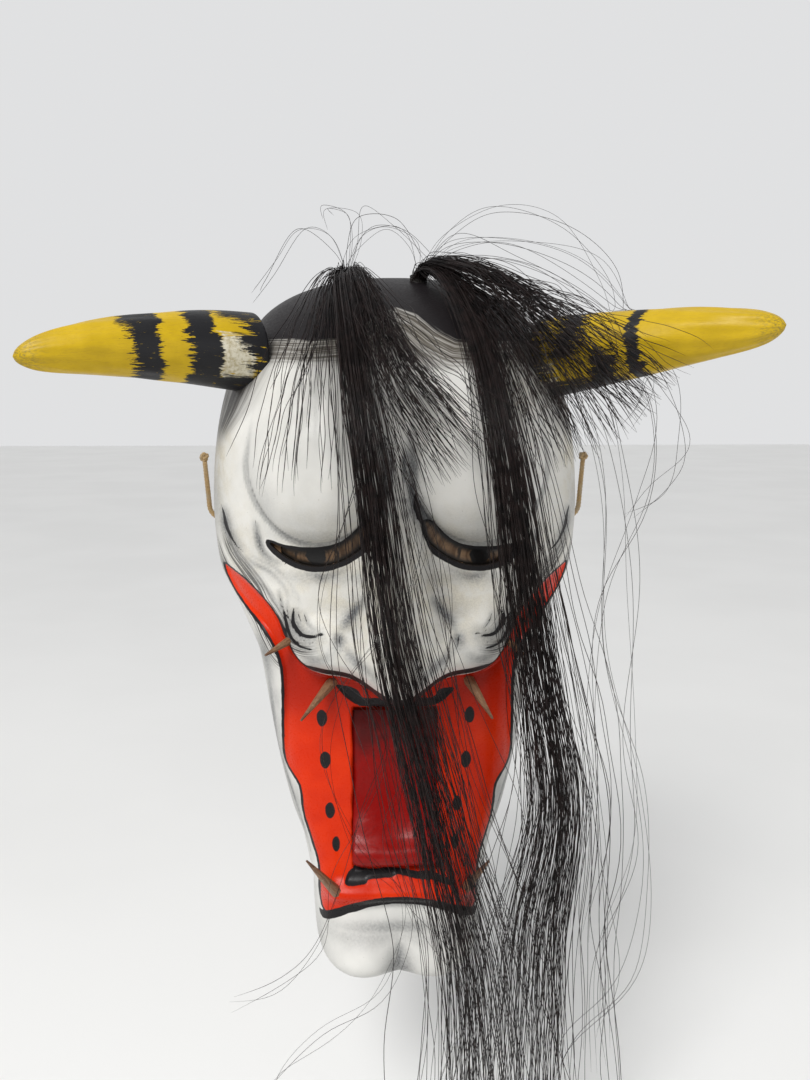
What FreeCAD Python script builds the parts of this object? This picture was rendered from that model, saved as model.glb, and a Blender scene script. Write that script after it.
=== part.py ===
import FreeCAD, Part
import math
import os
from FreeCAD import Vector

os.makedirs("parts", exist_ok=True)

# Horned demon theatre mask of pasted paper, worn on the face or hung by two ear cords.
# Millimetres. X to the viewer's right, the mask looks along -Y, +Z up.
# The origin is on the back rim's plane (y = 0), on the centre line, level with the cord holes.

# ---- driving dimensions -------------------------------------------------------------------
TOP_Z = 128.0            # top of the back rim
BOTTOM_Z = -232.0        # bottom of the back rim, under the chin
MID_Z = (TOP_Z + BOTTOM_Z) / 2
HALF_HEIGHT = (TOP_Z - BOTTOM_Z) / 2
WALL = 3.0               # pasted paper wall
GRID_X, GRID_Z = 40, 72  # surface patches across and down the mask

# Rim half width and centre-line depth, each divided by sqrt(1 - b^2), b = height from the middle / half height
WIDTH_BY_HEIGHT = [(-232, 104), (-210, 90), (-195, 75), (-175, 64), (-155, 62.5), (-135, 66), (-110, 68), (-85, 69.5),
                   (-60, 72), (-38, 82), (-18, 95), (0, 100), (30, 107), (60, 116), (90, 130), (100, 138), (109, 149),
                   (117, 160), (123, 170), (128, 188)]
DEPTH_BY_HEIGHT = [(-232, 205), (-212, 180), (-195, 145), (-175, 118), (-150, 97), (-125, 86), (-95, 82),
                   (-60, 84), (-10, 87), (30, 96), (60, 104), (95, 106), (119, 90), (128, 70)]

BROW_X, BROW_Z, BROW_RISE = 37.0, 38.0, 18.0
NOSE_HEIGHT = [(-74, 0), (-70, 16), (-64, 33), (-55, 37), (-40, 33), (-20, 25), (0, 15), (15, 8), (30, 2), (40, 0)]
NOSE_WIDTH = [(-74, 15), (-64, 15), (-52, 22), (-40, 19), (-20, 13), (0, 10.5), (30, 9)]

# Left half of the painted mouth, from its corner along the upper lip to the centre, then back up its outer edge
UPPER_LIP = [(-86, -16), (-76, -18), (-68, -22.5), (-60.5, -28.8), (-55.5, -35.5), (-52.3, -43.5), (-48, -52),
             (-42, -58), (-34, -61), (-24, -62.5), (-12, -65.5), (0, -67)]
OUTER_LIP = [(0, -174), (-14, -175.5), (-26, -179), (-37.5, -181), (-38.5, -160), (-42, -148), (-46, -134),
             (-47.5, -120), (-55, -110), (-55.5, -95), (-54.5, -75), (-54.5, -60), (-57.5, -50), (-64, -40.5), (-73, -33),
             (-80.5, -26)]
MOUTH_DEPTH = 4.0        # how far the mouth floor lies below the cheeks
TROUGH_DEPTH = 8.0       # and the middle of it below that, under the tongue

EYE = [(11, 10), (13.5, 1.5), (20, -4.5), (28, -8.8), (37, -10.4), (46, -9), (54, -5), (60, 0.3), (52, -2), (43, -3),
       (33, -2.2), (26, 0.5), (20, 5), (15, 10.5)]
EYE_GAP, EYE_THICKNESS = 1.2, 2.0    # the eye plates lie just behind the wall

# Tongue: depth and height of its front, from the throat down to the rolled tip
TONGUE_X, TONGUE_HALF_WIDTH = -1.5, 20.5
TONGUE_FRONT = [(74, -82), (75, -90), (74.5, -100), (75, -115), (78, -130), (84, -140.5), (89.5, -146.5),
                (90.5, -151), (87.5, -155), (81, -156)]

# Horns: start of the axis on the scalp, tip, rise of the middle above the straight line, and radius by share of
# the length; the flat end stands against the slope of the scalp
HORN_LEFT = Vector(-66, -40, 86.5), Vector(-159.5, -102, 82.5), 4.0
HORN_RIGHT = Vector(70, -38, 84), Vector(161.5, -106, 95.5), 1.0
HORN_RADII = [(0.04, 19.2), (0.2, 18.0), (0.42, 15.4), (0.64, 12.6), (0.8, 10.0), (0.9, 7.6), (0.96, 5.0),
              (0.99, 2.4)]
DOWEL_R = 4.0
DOWEL_FROM, DOWEL_TO = -0.17, 0.2    # shares of the horn's length

# Fangs: base on the mouth's surface (x, z), then the pointed tip
FANG_R, FANG_TIP_R, FANG_SHANK = 2.6, 0.5, 6.0
CORNER_FANG_R = 1.9
FANGS = {
    "fang_upper_left": (-31.5, -66.5, Vector(-44, -100, -77), FANG_R),
    "fang_upper_right": (33.5, -66, Vector(42, -100, -77), FANG_R),
    "fang_lower_left": (-30.5, -167, Vector(-42.5, -102, -143.5), FANG_R),
    "fang_lower_right": (33, -167, Vector(41, -102, -145), FANG_R),
    "fang_corner_left": (-51, -45.5, Vector(-60, -94, -48.5), CORNER_FANG_R),
    "fang_corner_right": (52, -47.5, Vector(57, -94, -49.5), CORNER_FANG_R),
}

# Ear cords: route of the right cord from the knot inside, out through the wall and up to its end knot
CORD_D = 2.8
CORD_HOLE_R = 2.8
CORD_HOLE_Y, CORD_HOLE_Z = -12.0, 2.2
CORD_ROUTE = [(80.0, -12.6, 0.6), (97.8, -12.0, 1.0), (99.5, -9.2, 18.0), (101.5, -4.9, 32.5)]
KNOT_R = 3.2
KNOT_SEAT = 2.6            # from a knot's centre to its flat

# Hair: bound roots in holes near the top of the rim, then locks as (x, y, z, half width, half thickness)
ROOT_D = 14.0
ROOT_LEFT_X, ROOT_RIGHT_X = -24.0, 12.0
BINDING_R, BINDING_IN, BINDING_OUT = 4.4, 9.0, 3.0
HAIR_END_Z = -330.0
# of each side's locks, a later one is cut back where it lies against an earlier one
HAIR = {"left": {
    "hair_left_main": [
        (-24, -14, 127.5, 4, 4), (-24.5, -24, 132, 6, 4), (-25, -48, 121, 7, 4), (-20, -80, 97, 7, 4),
        (-15.5, -104, 64, 8, 4), (-10, -114, 36, 8, 4), (-6, -118, 6, 8, 4), (-3, -126, -17, 8, 4),
        (1, -138, -39, 9, 4), (6, -140, -58, 9, 5), (14, -136, -92, 10, 5), (23, -132, -130, 12, 6),
        (35, -127, -180, 14, 7), (41, -123, -235, 16, 8), (44, -120, HAIR_END_Z, 8, 5)],
    "hair_left_fringe": [
        (-20, -14, 127.5, 2, 2), (-19, -26, 130.5, 4, 2.5), (-9, -60, 117, 7, 3), (3, -98, 84, 9, 3),
        (18, -113, 58, 11, 3), (32, -120, 38, 8, 2)],
    "hair_left_strands": [
        (-28, -14, 127.5, 2, 2), (-30, -28, 128.5, 4, 2), (-36, -62, 113, 6, 2.5), (-39, -96, 80, 7, 2.5),
        (-41, -116, 45, 8, 2.5), (-42, -120, 22, 5, 2)],
}, "right": {
    "hair_right_main": [
        (12, -14, 128, 4, 4), (16, -24, 133, 6, 4), (26, -50, 121, 7, 4), (36, -82, 92, 7, 4),
        (41, -106, 65, 8, 4), (46, -118, 36, 8, 4), (51, -118, 6, 8, 4), (57, -110, -22, 8, 4),
        (64, -102, -60, 9, 5), (70, -98, -90, 10, 5), (74, -95, -120, 11, 6), (72, -93, -150, 12, 6),
        (68, -92, -182, 13, 7), (66, -92, -225, 15, 8), (65, -92, HAIR_END_Z, 8, 5)],
    "hair_right_fringe": [
        (16.5, -12, 128, 2, 2), (24, -24, 131, 4, 2.5), (48, -64, 107, 8, 3), (65, -100, 74, 10, 3),
        (76, -106, 42, 6, 2)],
    "hair_right_fan": [
        (15.5, -16.5, 128, 2, 2), (24, -30, 136.5, 4, 2.5), (46, -62, 124, 7, 3), (66, -86, 104, 9, 3),
        (90, -98, 80, 9, 3), (110, -102, 62, 6, 2)],
}}


# ---- the face as a depth over the rim's plane ---------------------------------------------
def table(rows, at):
    """Smooth monotone curve through (position, value) rows."""
    xs, ys = [r[0] for r in rows], [r[1] for r in rows]
    at = min(max(at, xs[0]), xs[-1])
    slopes = [(ys[i + 1] - ys[i]) / (xs[i + 1] - xs[i]) for i in range(len(xs) - 1)]
    i = max(k for k in range(len(xs) - 1) if xs[k] <= at)

    def tangent(k):
        if k == 0 or k == len(xs) - 1:
            return slopes[0] if k == 0 else slopes[-1]
        a, b = slopes[k - 1], slopes[k]
        return 0.0 if a * b <= 0 else 2 * a * b / (a + b)

    h = xs[i + 1] - xs[i]
    t = (at - xs[i]) / h
    return (ys[i] * (1 + 2 * t) * (1 - t) ** 2 + tangent(i) * h * t * (1 - t) ** 2
            + ys[i + 1] * t * t * (3 - 2 * t) + tangent(i + 1) * h * t * t * (t - 1))


def ramp(low, high, at):
    """0 at low, 1 at high, smooth between; low may be the larger."""
    t = min(max((at - low) / (high - low), 0.0), 1.0)
    return t * t * (3 - 2 * t)


def roundness(z):
    b = (z - MID_Z) / HALF_HEIGHT
    return math.sqrt(max(1 - b * b, 0.0))


def half_width(z):
    return roundness(z) * table(WIDTH_BY_HEIGHT, z)


def plain_depth(x, z):
    """The mask without its features: a dome above, a squarer trough-like jaw below."""
    s = min(abs(x) / max(half_width(z), 1e-6), 1.0)
    jaw = 1 - ramp(-60, -10, z)
    squareness, softness = 3.3 + 3.7 * jaw, 2.0 + 0.2 * jaw
    return roundness(z) * table(DEPTH_BY_HEIGHT, z) * (1 - s ** squareness) ** (1 / softness)


def lump(x, z, cx, cz, rx, rz, power):
    return math.exp(-((((abs(x) - cx) / rx) ** 2 + ((z - cz) / rz) ** 2) ** power))


def brow(x, z):
    dz = z - BROW_Z
    r2 = ((abs(x) - BROW_X) / 32.0) ** 2 + (dz / (37.0 if dz < 0 else 62.0)) ** 2
    return BROW_RISE * max(1 - r2, 0.0) ** (0.5 + 1.0 * ramp(-10, 25, dz))


def nose(x, z):
    return table(NOSE_HEIGHT, z) * math.exp(-(abs(x) / table(NOSE_WIDTH, z)) ** 2.2)


def mouth_outline():
    left = UPPER_LIP + OUTER_LIP
    return left[:len(UPPER_LIP)] + [(-x, z) for x, z in reversed(UPPER_LIP[:-1])] + \
        [(-x, z) for x, z in reversed(OUTER_LIP[1:])] + OUTER_LIP


MOUTH = mouth_outline()


def inside_mouth(x, z):
    """Signed distance into the mouth outline, positive inside."""
    nearest, inside = 1e9, False
    for (ax, az), (bx, bz) in zip(MOUTH, MOUTH[1:] + MOUTH[:1]):
        ex, ez = bx - ax, bz - az
        t = min(max(((x - ax) * ex + (z - az) * ez) / (ex * ex + ez * ez), 0.0), 1.0)
        nearest = min(nearest, math.hypot(x - ax - t * ex, z - az - t * ez))
        if (az > z) != (bz > z) and x < ax + (z - az) * ex / ez:
            inside = not inside
    return nearest if inside else -nearest


def depth(x, z):
    """Depth of the finished face in front of the rim's plane."""
    plain = plain_depth(x, z)
    cheeks = 9 * lump(x, z, 33, -46, 13, 12, 1.5) + 3 * lump(x, z, 49, -24, 14, 14, 1.2)
    face = brow(x, z) + nose(x, z) + cheeks + 9 * lump(x, z, 17, -203, 15, 13, 1.3)
    trough = TROUGH_DEPTH * ramp(25, 20, abs(x)) * ramp(-162, -156, z) * ramp(-78, -83, z)
    upper_recess = MOUTH_DEPTH * ramp(-130, -80, z)
    lower_lip = 5 * math.exp(-((z + 169) / 5.0) ** 2) * ramp(40, 30, abs(x))
    into = ramp(-1.5, 2.5, inside_mouth(x, z))
    return plain + face * (1 - into) + (lower_lip - trough - upper_recess) * into


# ---- surfaces -----------------------------------------------------------------------------
def face_poles():
    """Control points on a square grid folded onto the rim's round outline."""
    rows = []
    for i in range(GRID_X + 1):
        s = math.sin(math.pi / 2 * (2 * i / GRID_X - 1))
        row = []
        for j in range(GRID_Z + 1):
            t = math.sin(math.pi / 2 * (2 * j / GRID_Z - 1))
            z = MID_Z + HALF_HEIGHT * t * math.sqrt(1 - s * s / 2)
            x = s * math.sqrt(1 - t * t / 2) * table(WIDTH_BY_HEIGHT, z)
            on_rim = i in (0, GRID_X) or j in (0, GRID_Z)
            row.append(Vector(x, 0 if on_rim else -depth(x, z), z))
        rows.append(row)
    return rows


def inner_poles(outer, wall):
    """The same grid moved inwards by the wall, square to the surface; the rim stays on its plane."""
    def quad_normal(i, j):
        a, b, c, d = outer[i][j], outer[i + 1][j], outer[i + 1][j + 1], outer[i][j + 1]
        return (c - a).cross(d - b)

    rows = []
    for i in range(GRID_X + 1):
        row = []
        for j in range(GRID_Z + 1):
            normal = Vector()
            for k in (i - 1, i):
                for m in (j - 1, j):
                    if 0 <= k < GRID_X and 0 <= m < GRID_Z:
                        normal += quad_normal(k, m)
            if i in (0, GRID_X) or j in (0, GRID_Z):
                normal.y = 0
            row.append(outer[i][j] - normal.normalize() * wall)
        rows.append(row)
    return rows


def spline_face(poles):
    def knots(count):
        spans = count - 3
        return [k / spans for k in range(spans + 1)], [4] + [1] * (spans - 1) + [4]

    u_knots, u_mults = knots(len(poles))
    v_knots, v_mults = knots(len(poles[0]))
    surface = Part.BSplineSurface()
    surface.buildFromPolesMultsKnots(poles, u_mults, v_mults, u_knots, v_knots, False, False, 3, 3)
    return surface.toShape()


def closed_solid(faces):
    shell = Part.Shell(faces)
    shell.sewShape()
    solid = Part.Solid(shell)
    if solid.Volume < 0:
        solid.reverse()
    return solid


def outline_wire(points, y):
    curve = Part.BSplineCurve()
    curve.interpolate([Vector(x, y, z) for x, z in points], PeriodicFlag=True)
    return Part.Wire(curve.toShape())


def cutter(points, near, far):
    """A prism through the face, between two depths in front of the rim."""
    return Part.Face(outline_wire(points, -far)).extrude(Vector(0, far - near, 0))


def mirrored(points):
    return [(-x, z) for x, z in points]


def rod(start, end, radius):
    return Part.makeCylinder(radius, (end - start).Length, start, end - start)


def part_way(a, b, t):
    return a + (b - a) * t


# ---- pieces -------------------------------------------------------------------------------
def make_shell_bodies():
    outer = face_poles()
    outer_face, inner_face = spline_face(outer), spline_face(inner_poles(outer, WALL))
    outer_rim, inner_rim = Part.Wire(outer_face.Edges), Part.Wire(inner_face.Edges)
    rim = Part.makeFace([outer_rim, inner_rim], "Part::FaceMakerBullseye")
    back = Part.makeFace([outer_rim], "Part::FaceMakerBullseye")
    return closed_solid([outer_face, inner_face, rim]), closed_solid([outer_face, back])


def make_eye_plate(side):
    """A thin bowed plate behind the eye opening."""
    poles = []
    for i in range(8):
        x = 9 + 7.5 * i
        column = [(x, -17 + 5.5 * j) for j in range(6)]
        poles.append([Vector(side * x, EYE_GAP + WALL - plain_depth(x, z), z) for x, z in column])
    return spline_face(poles).extrude(Vector(0, EYE_THICKNESS, 0))


def horn_point(horn, share):
    base, tip, rise = horn
    return part_way(base, tip, share) + Vector(0, 0, 4 * rise * share * (1 - share))


def make_horn(horn):
    rings = []
    for share, radius in HORN_RADII:
        ahead = horn_point(horn, share + 0.01) - horn_point(horn, share - 0.01)
        rings.append(Part.Wire(Part.Circle(horn_point(horn, share), ahead, radius).toShape()))
    return Part.makeLoft(rings + [Part.Vertex(horn[1])], True, False)


def make_dowel(horn):
    return rod(horn_point(horn, DOWEL_FROM), horn_point(horn, DOWEL_TO), DOWEL_R)


def make_fang(x, z, tip, radius):
    base = Vector(x, -depth(x, z), z)
    out = tip - base
    cone = Part.makeCone(radius, FANG_TIP_R, out.Length, base, out)
    shank = rod(base - out.normalize() * FANG_SHANK, base, radius)
    return cone.fuse(shank).removeSplitter()


def make_tongue():
    curve = Part.BSplineCurve()
    curve.interpolate([Vector(TONGUE_X - TONGUE_HALF_WIDTH, -d, z) for d, z in TONGUE_FRONT])
    throat, tip = curve.StartPoint, curve.EndPoint
    back = [tip, Vector(tip.x, -40, tip.z), Vector(tip.x, -40, throat.z), throat]
    lines = [Part.LineSegment(a, b).toShape() for a, b in zip(back, back[1:])]
    return Part.Face(Part.Wire([curve.toShape()] + lines)).extrude(Vector(2 * TONGUE_HALF_WIDTH, 0, 0))


def scalp_height(x, d):
    """Height at which the scalp lies at depth d in front of the rim."""
    low, high = 80.0, TOP_Z
    for _ in range(40):
        middle = (low + high) / 2
        low, high = (middle, high) if depth(x, middle) > d else (low, middle)
    return low


def make_binding(x):
    z = scalp_height(x, ROOT_D)
    return rod(Vector(x, -ROOT_D, z - BINDING_IN), Vector(x, -ROOT_D, z + BINDING_OUT), BINDING_R)


def ellipse_wire(centre, along, half_width, half_thickness):
    """An oval across the lock, its width kept as near to X as the lock's direction allows."""
    along.normalize()
    side = (Vector(1, 0, 0) - along * along.x).normalize()
    through = along.cross(side)
    ellipse = Part.Ellipse(centre + side * half_width * 1.001, centre + through * half_thickness, centre)
    return Part.Wire(ellipse.toShape())


def make_lock(stations):
    points = [Vector(*s[:3]) for s in stations]
    rings = []
    for i, (_, _, _, half_width, half_thickness) in enumerate(stations):
        along = points[min(i + 1, len(points) - 1)] - points[max(i - 1, 0)]
        rings.append(ellipse_wire(points[i], along, half_width, half_thickness))
    return Part.makeLoft(rings, True, True)


def cord_path(points):
    """Straight runs joined by tangent arcs, each as large as its two runs allow."""
    edges, at = [], points[0]
    for before, corner, after in zip(points, points[1:], points[2:]):
        into, out = (corner - before), (after - corner)
        run = min(into.Length, out.Length)
        half_turn = into.getAngle(out) / 2
        reach = 0.45 * run
        print("cord arc radius", round(reach / math.tan(half_turn), 1))
        into.normalize()
        out.normalize()
        start, end = corner - into * reach, corner + out * reach
        bulge = (out - into).normalize() * (reach / math.tan(half_turn)) * (1 / math.cos(half_turn) - 1)
        edges += [Part.LineSegment(at, start).toShape(), Part.Arc(start, corner + bulge, end).toShape()]
        at = end
    return Part.Wire(edges + [Part.LineSegment(at, points[-1]).toShape()])


def make_cord(side):
    points = [Vector(side * x, y, z) for x, y, z in CORD_ROUTE]
    path = cord_path(points)
    start = Part.Wire(Part.Circle(points[0], points[1] - points[0], CORD_D / 2).toShape())
    cord = path.makePipeShell([start], True, False)
    print("cord length", round(path.Length, 1), "volume ratio",
          round(cord.Volume / (math.pi * CORD_D ** 2 / 4 * path.Length), 3))
    return cord


def make_knot(at, towards):
    """A round knot, flat where the cord's end meets it face to face."""
    outward = at - towards
    flat_latitude = -math.degrees(math.asin(KNOT_SEAT / KNOT_R))
    return Part.makeSphere(KNOT_R, at, outward, flat_latitude, 90, 360)


def make_knots(side):
    points = [Vector(side * x, y, z) for x, y, z in CORD_ROUTE]

    def beyond(end, neighbour):
        return end + (end - neighbour).normalize() * KNOT_SEAT

    inner, outer = beyond(points[0], points[1]), beyond(points[-1], points[-2])
    return make_knot(inner, points[0]), make_knot(outer, points[-1])


# ---- assembly -----------------------------------------------------------------------------
def main():
    shell, filled = make_shell_bodies()
    for side in (-1, 1):
        eye = EYE if side > 0 else mirrored(EYE)
        shell = shell.cut(cutter(eye, 40, 140))
        hole = rod(Vector(side * 60, CORD_HOLE_Y, CORD_HOLE_Z), Vector(side * 120, CORD_HOLE_Y, CORD_HOLE_Z),
                   CORD_HOLE_R)
        shell = shell.cut(hole)

    pieces = {"tongue": make_tongue().cut(filled)}
    for name, side in (("left", -1), ("right", 1)):
        horn = HORN_LEFT if side < 0 else HORN_RIGHT
        dowel = make_dowel(horn)
        pieces["horn_" + name] = make_horn(horn).cut(filled).cut(dowel)
        pieces["horn_dowel_" + name] = dowel
        pieces["eye_plate_" + name] = make_eye_plate(side)
        pieces["hair_binding_" + name] = make_binding(ROOT_LEFT_X if side < 0 else ROOT_RIGHT_X)
        pieces["ear_cord_" + name] = make_cord(side)
        pieces["cord_knot_" + name], pieces["cord_end_" + name] = make_knots(side)
    for name, fang in FANGS.items():
        pieces[name] = make_fang(*fang)
    for name, piece in pieces.items():
        if name.startswith(("fang", "horn_dowel", "hair_binding")):
            shell = shell.cut(piece)
    for side, locks in HAIR.items():
        taken = [pieces["hair_binding_" + side]]
        for name, stations in locks.items():
            cut_back = make_lock(stations).cut(taken)
            pieces[name] = max(cut_back.Solids, key=lambda solid: solid.Volume)
            taken.append(pieces[name])
    pieces["face_shell"] = shell
    for name, piece in pieces.items():
        print(name, piece.ShapeType, "solids", len(piece.Solids), "valid", piece.isValid(), round(piece.Volume))
        piece.exportStep("parts/" + name + ".step")


main()
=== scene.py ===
import math

import bpy
import numpy as np
from mathutils import Matrix, Vector


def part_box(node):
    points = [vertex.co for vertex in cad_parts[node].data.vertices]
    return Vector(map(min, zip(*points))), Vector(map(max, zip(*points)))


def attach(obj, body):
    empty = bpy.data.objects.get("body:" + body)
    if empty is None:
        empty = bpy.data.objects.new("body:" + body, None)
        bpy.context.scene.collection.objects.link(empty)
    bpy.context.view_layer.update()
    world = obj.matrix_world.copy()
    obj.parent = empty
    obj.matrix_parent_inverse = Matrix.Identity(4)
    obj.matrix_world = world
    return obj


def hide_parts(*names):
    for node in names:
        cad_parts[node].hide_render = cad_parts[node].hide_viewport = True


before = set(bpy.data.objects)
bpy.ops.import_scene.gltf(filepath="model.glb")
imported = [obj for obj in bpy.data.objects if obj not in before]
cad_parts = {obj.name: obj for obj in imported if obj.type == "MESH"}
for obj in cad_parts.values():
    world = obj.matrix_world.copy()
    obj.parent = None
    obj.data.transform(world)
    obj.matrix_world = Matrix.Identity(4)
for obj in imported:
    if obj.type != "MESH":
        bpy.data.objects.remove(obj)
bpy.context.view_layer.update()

MM = 0.001
rng = np.random.default_rng(7)

# ---- driving dimensions, millimetres in the row's frame ----
TOP_Z, BOTTOM_Z = 128.0, -232.0
MID_Z, HALF_HEIGHT = (TOP_Z + BOTTOM_Z) / 2, (TOP_Z - BOTTOM_Z) / 2
WALL = 3.0
GRID_SPREAD = 0.86

# Rim half width and centre-line depth over height, each divided by sqrt(1 - b^2)
WIDTH_BY_HEIGHT = [(-232, 104), (-210, 90), (-195, 75), (-175, 64), (-155, 62.5), (-135, 66), (-110, 68),
    (-85, 69.5), (-60, 72), (-38, 82), (-18, 95), (0, 100), (30, 107), (60, 116), (90, 130), (100, 138),
    (109, 149), (117, 160), (123, 170), (128, 188)]
DEPTH_BY_HEIGHT = [(-232, 205), (-212, 180), (-195, 145), (-175, 118), (-150, 97), (-125, 86), (-95, 82),
    (-60, 84), (-10, 87), (30, 96), (60, 104), (95, 106), (119, 90), (128, 70)]
BROW_X, BROW_Z, BROW_RISE = 37.0, 38.0, 18.0
NOSE_HEIGHT = [(-74, 0), (-70, 16), (-64, 33), (-55, 37), (-40, 33), (-20, 25), (0, 15), (15, 8), (30, 2),
    (40, 0)]
NOSE_WIDTH = [(-74, 15), (-64, 15), (-52, 22), (-40, 19), (-20, 13), (0, 10.5), (30, 9)]

# Left half of the painted mouth: corner, upper lip, centre; then the bottom and the outer edge back up
UPPER_LIP = [(-86, -16), (-76, -18), (-68, -22.5), (-60.5, -28.8), (-55.5, -35.5), (-52.3, -43.5), (-48, -52),
    (-42, -58), (-34, -61), (-24, -62.5), (-12, -65.5), (0, -67)]
OUTER_LIP = [(0, -174), (-14, -175.5), (-26, -179), (-37.5, -181), (-38.5, -160), (-42, -148), (-46, -134),
    (-47.5, -120), (-55, -110), (-55.5, -95), (-54.5, -75), (-54.5, -60), (-57.5, -50), (-64, -40.5),
    (-73, -33), (-80.5, -26)]
MOUTH_DEPTH, TROUGH_DEPTH = 4.0, 8.0
TONGUE_X, TONGUE_HALF_WIDTH = -1.5, 20.5
# Ramps of the trough beside the tongue and at its lower and upper end
TROUGH_SIDE, TROUGH_BOTTOM, TROUGH_TOP = (20.9, 20.1), (-160, -156), (-78, -83)
LOWER_LIP_Z, LOWER_LIP_RISE, LOWER_LIP_SPREAD = -169, 5, 5.0
# Cheeks, under the eyes and chin: rise, centre, radii, power
LUMPS = [(9, 33, -46, 13, 12, 1.5), (3, 49, -24, 14, 14, 1.2), (9, 17, -203, 15, 13, 1.3)]

EYE = [(11, 10), (13.5, 1.5), (20, -4.5), (28, -8.8), (37, -10.4), (46, -9), (54, -5), (60, 0.3), (52, -2),
    (43, -3), (33, -2.2), (26, 0.5), (20, 5), (15, 10.5)]
PUPIL_X, PUPIL_Z, PUPIL_R = 37.5, -6.0, 3.7
# Black hollows pressed into the mouth above and below the tongue
UPPER_HOLLOW = [(-29.5, -67.1), (-26.2, -67.7), (-22.5, -68.6), (-18.8, -70.6), (-17, -73.9), (-12.8, -74.5),
    (-10.5, -74.2), (-3, -76.6), (0.7, -77.2), (10.5, -74.4), (13.2, -74.6), (17.2, -73.6), (19, -70.6),
    (22.5, -69.5), (26.4, -69.7), (24.2, -73.4), (21.5, -76), (18, -78.3), (14, -79.6), (10, -80.8),
    (0.8, -80.3), (-8.7, -81.5), (-11.9, -80.7), (-15.2, -79.3), (-19, -78.3), (-22.7, -75.9), (-25.9, -72.7),
    (-28.2, -69.6)]
LOWER_HOLLOW = [(-25.8, -164.8), (-23, -158.7), (-14.9, -159), (0, -158.9), (8.7, -160), (16, -160.1),
    (26, -164.2), (24.8, -165.6), (16, -163.7), (10.5, -163.3), (4.3, -162.3), (-0.7, -161.3), (-3.1, -162.2),
    (-8.1, -162.7), (-14.4, -163.2), (-16.2, -164.7)]
LIP_BAND = [(-38, -185.5), (-31, -180.7), (-24, -177), (-17, -174), (-8.2, -172), (0.5, -171.7),
    (9.7, -172.4), (19.1, -175), (26, -178), (33, -181.5), (38, -185)]
DOTS = [(-36.3, -84.8, 2.6, 4.4), (-35, -105.6, 2.6, 4.2), (-33, -130.6, 2.4, 4.0), (-30.2, -147, 1.9, 3.8),
    (34.1, -83.5, 2.4, 4.4), (32.5, -106.1, 2.5, 4.2), (28.3, -127.7, 2.2, 4.0), (27.3, -146.3, 1.9, 3.8)]
HAIRLINE = [(-95, 92), (-70, 93), (-54, 92.3), (-40, 91), (-27, 92), (-18, 98), (-8, 106), (0, 108), (9, 104),
    (18, 96), (27, 91), (40, 90), (54, 91), (70, 93), (95, 92)]
# Inner end of the brushed temple: height and distance from the middle
TEMPLE = [(40, 84), (47, 78), (60, 64.5), (78, 53), (92, 46), (128, 40)]
# Outer line of the sweep round the cheek
SWEEP = [(-90, 2), (-84, -10), (-75, -19), (-69, -25), (-66, -30), (-61.5, -36), (-58, -44), (-53, -51),
    (-44, -53), (-33, -50)]

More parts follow.
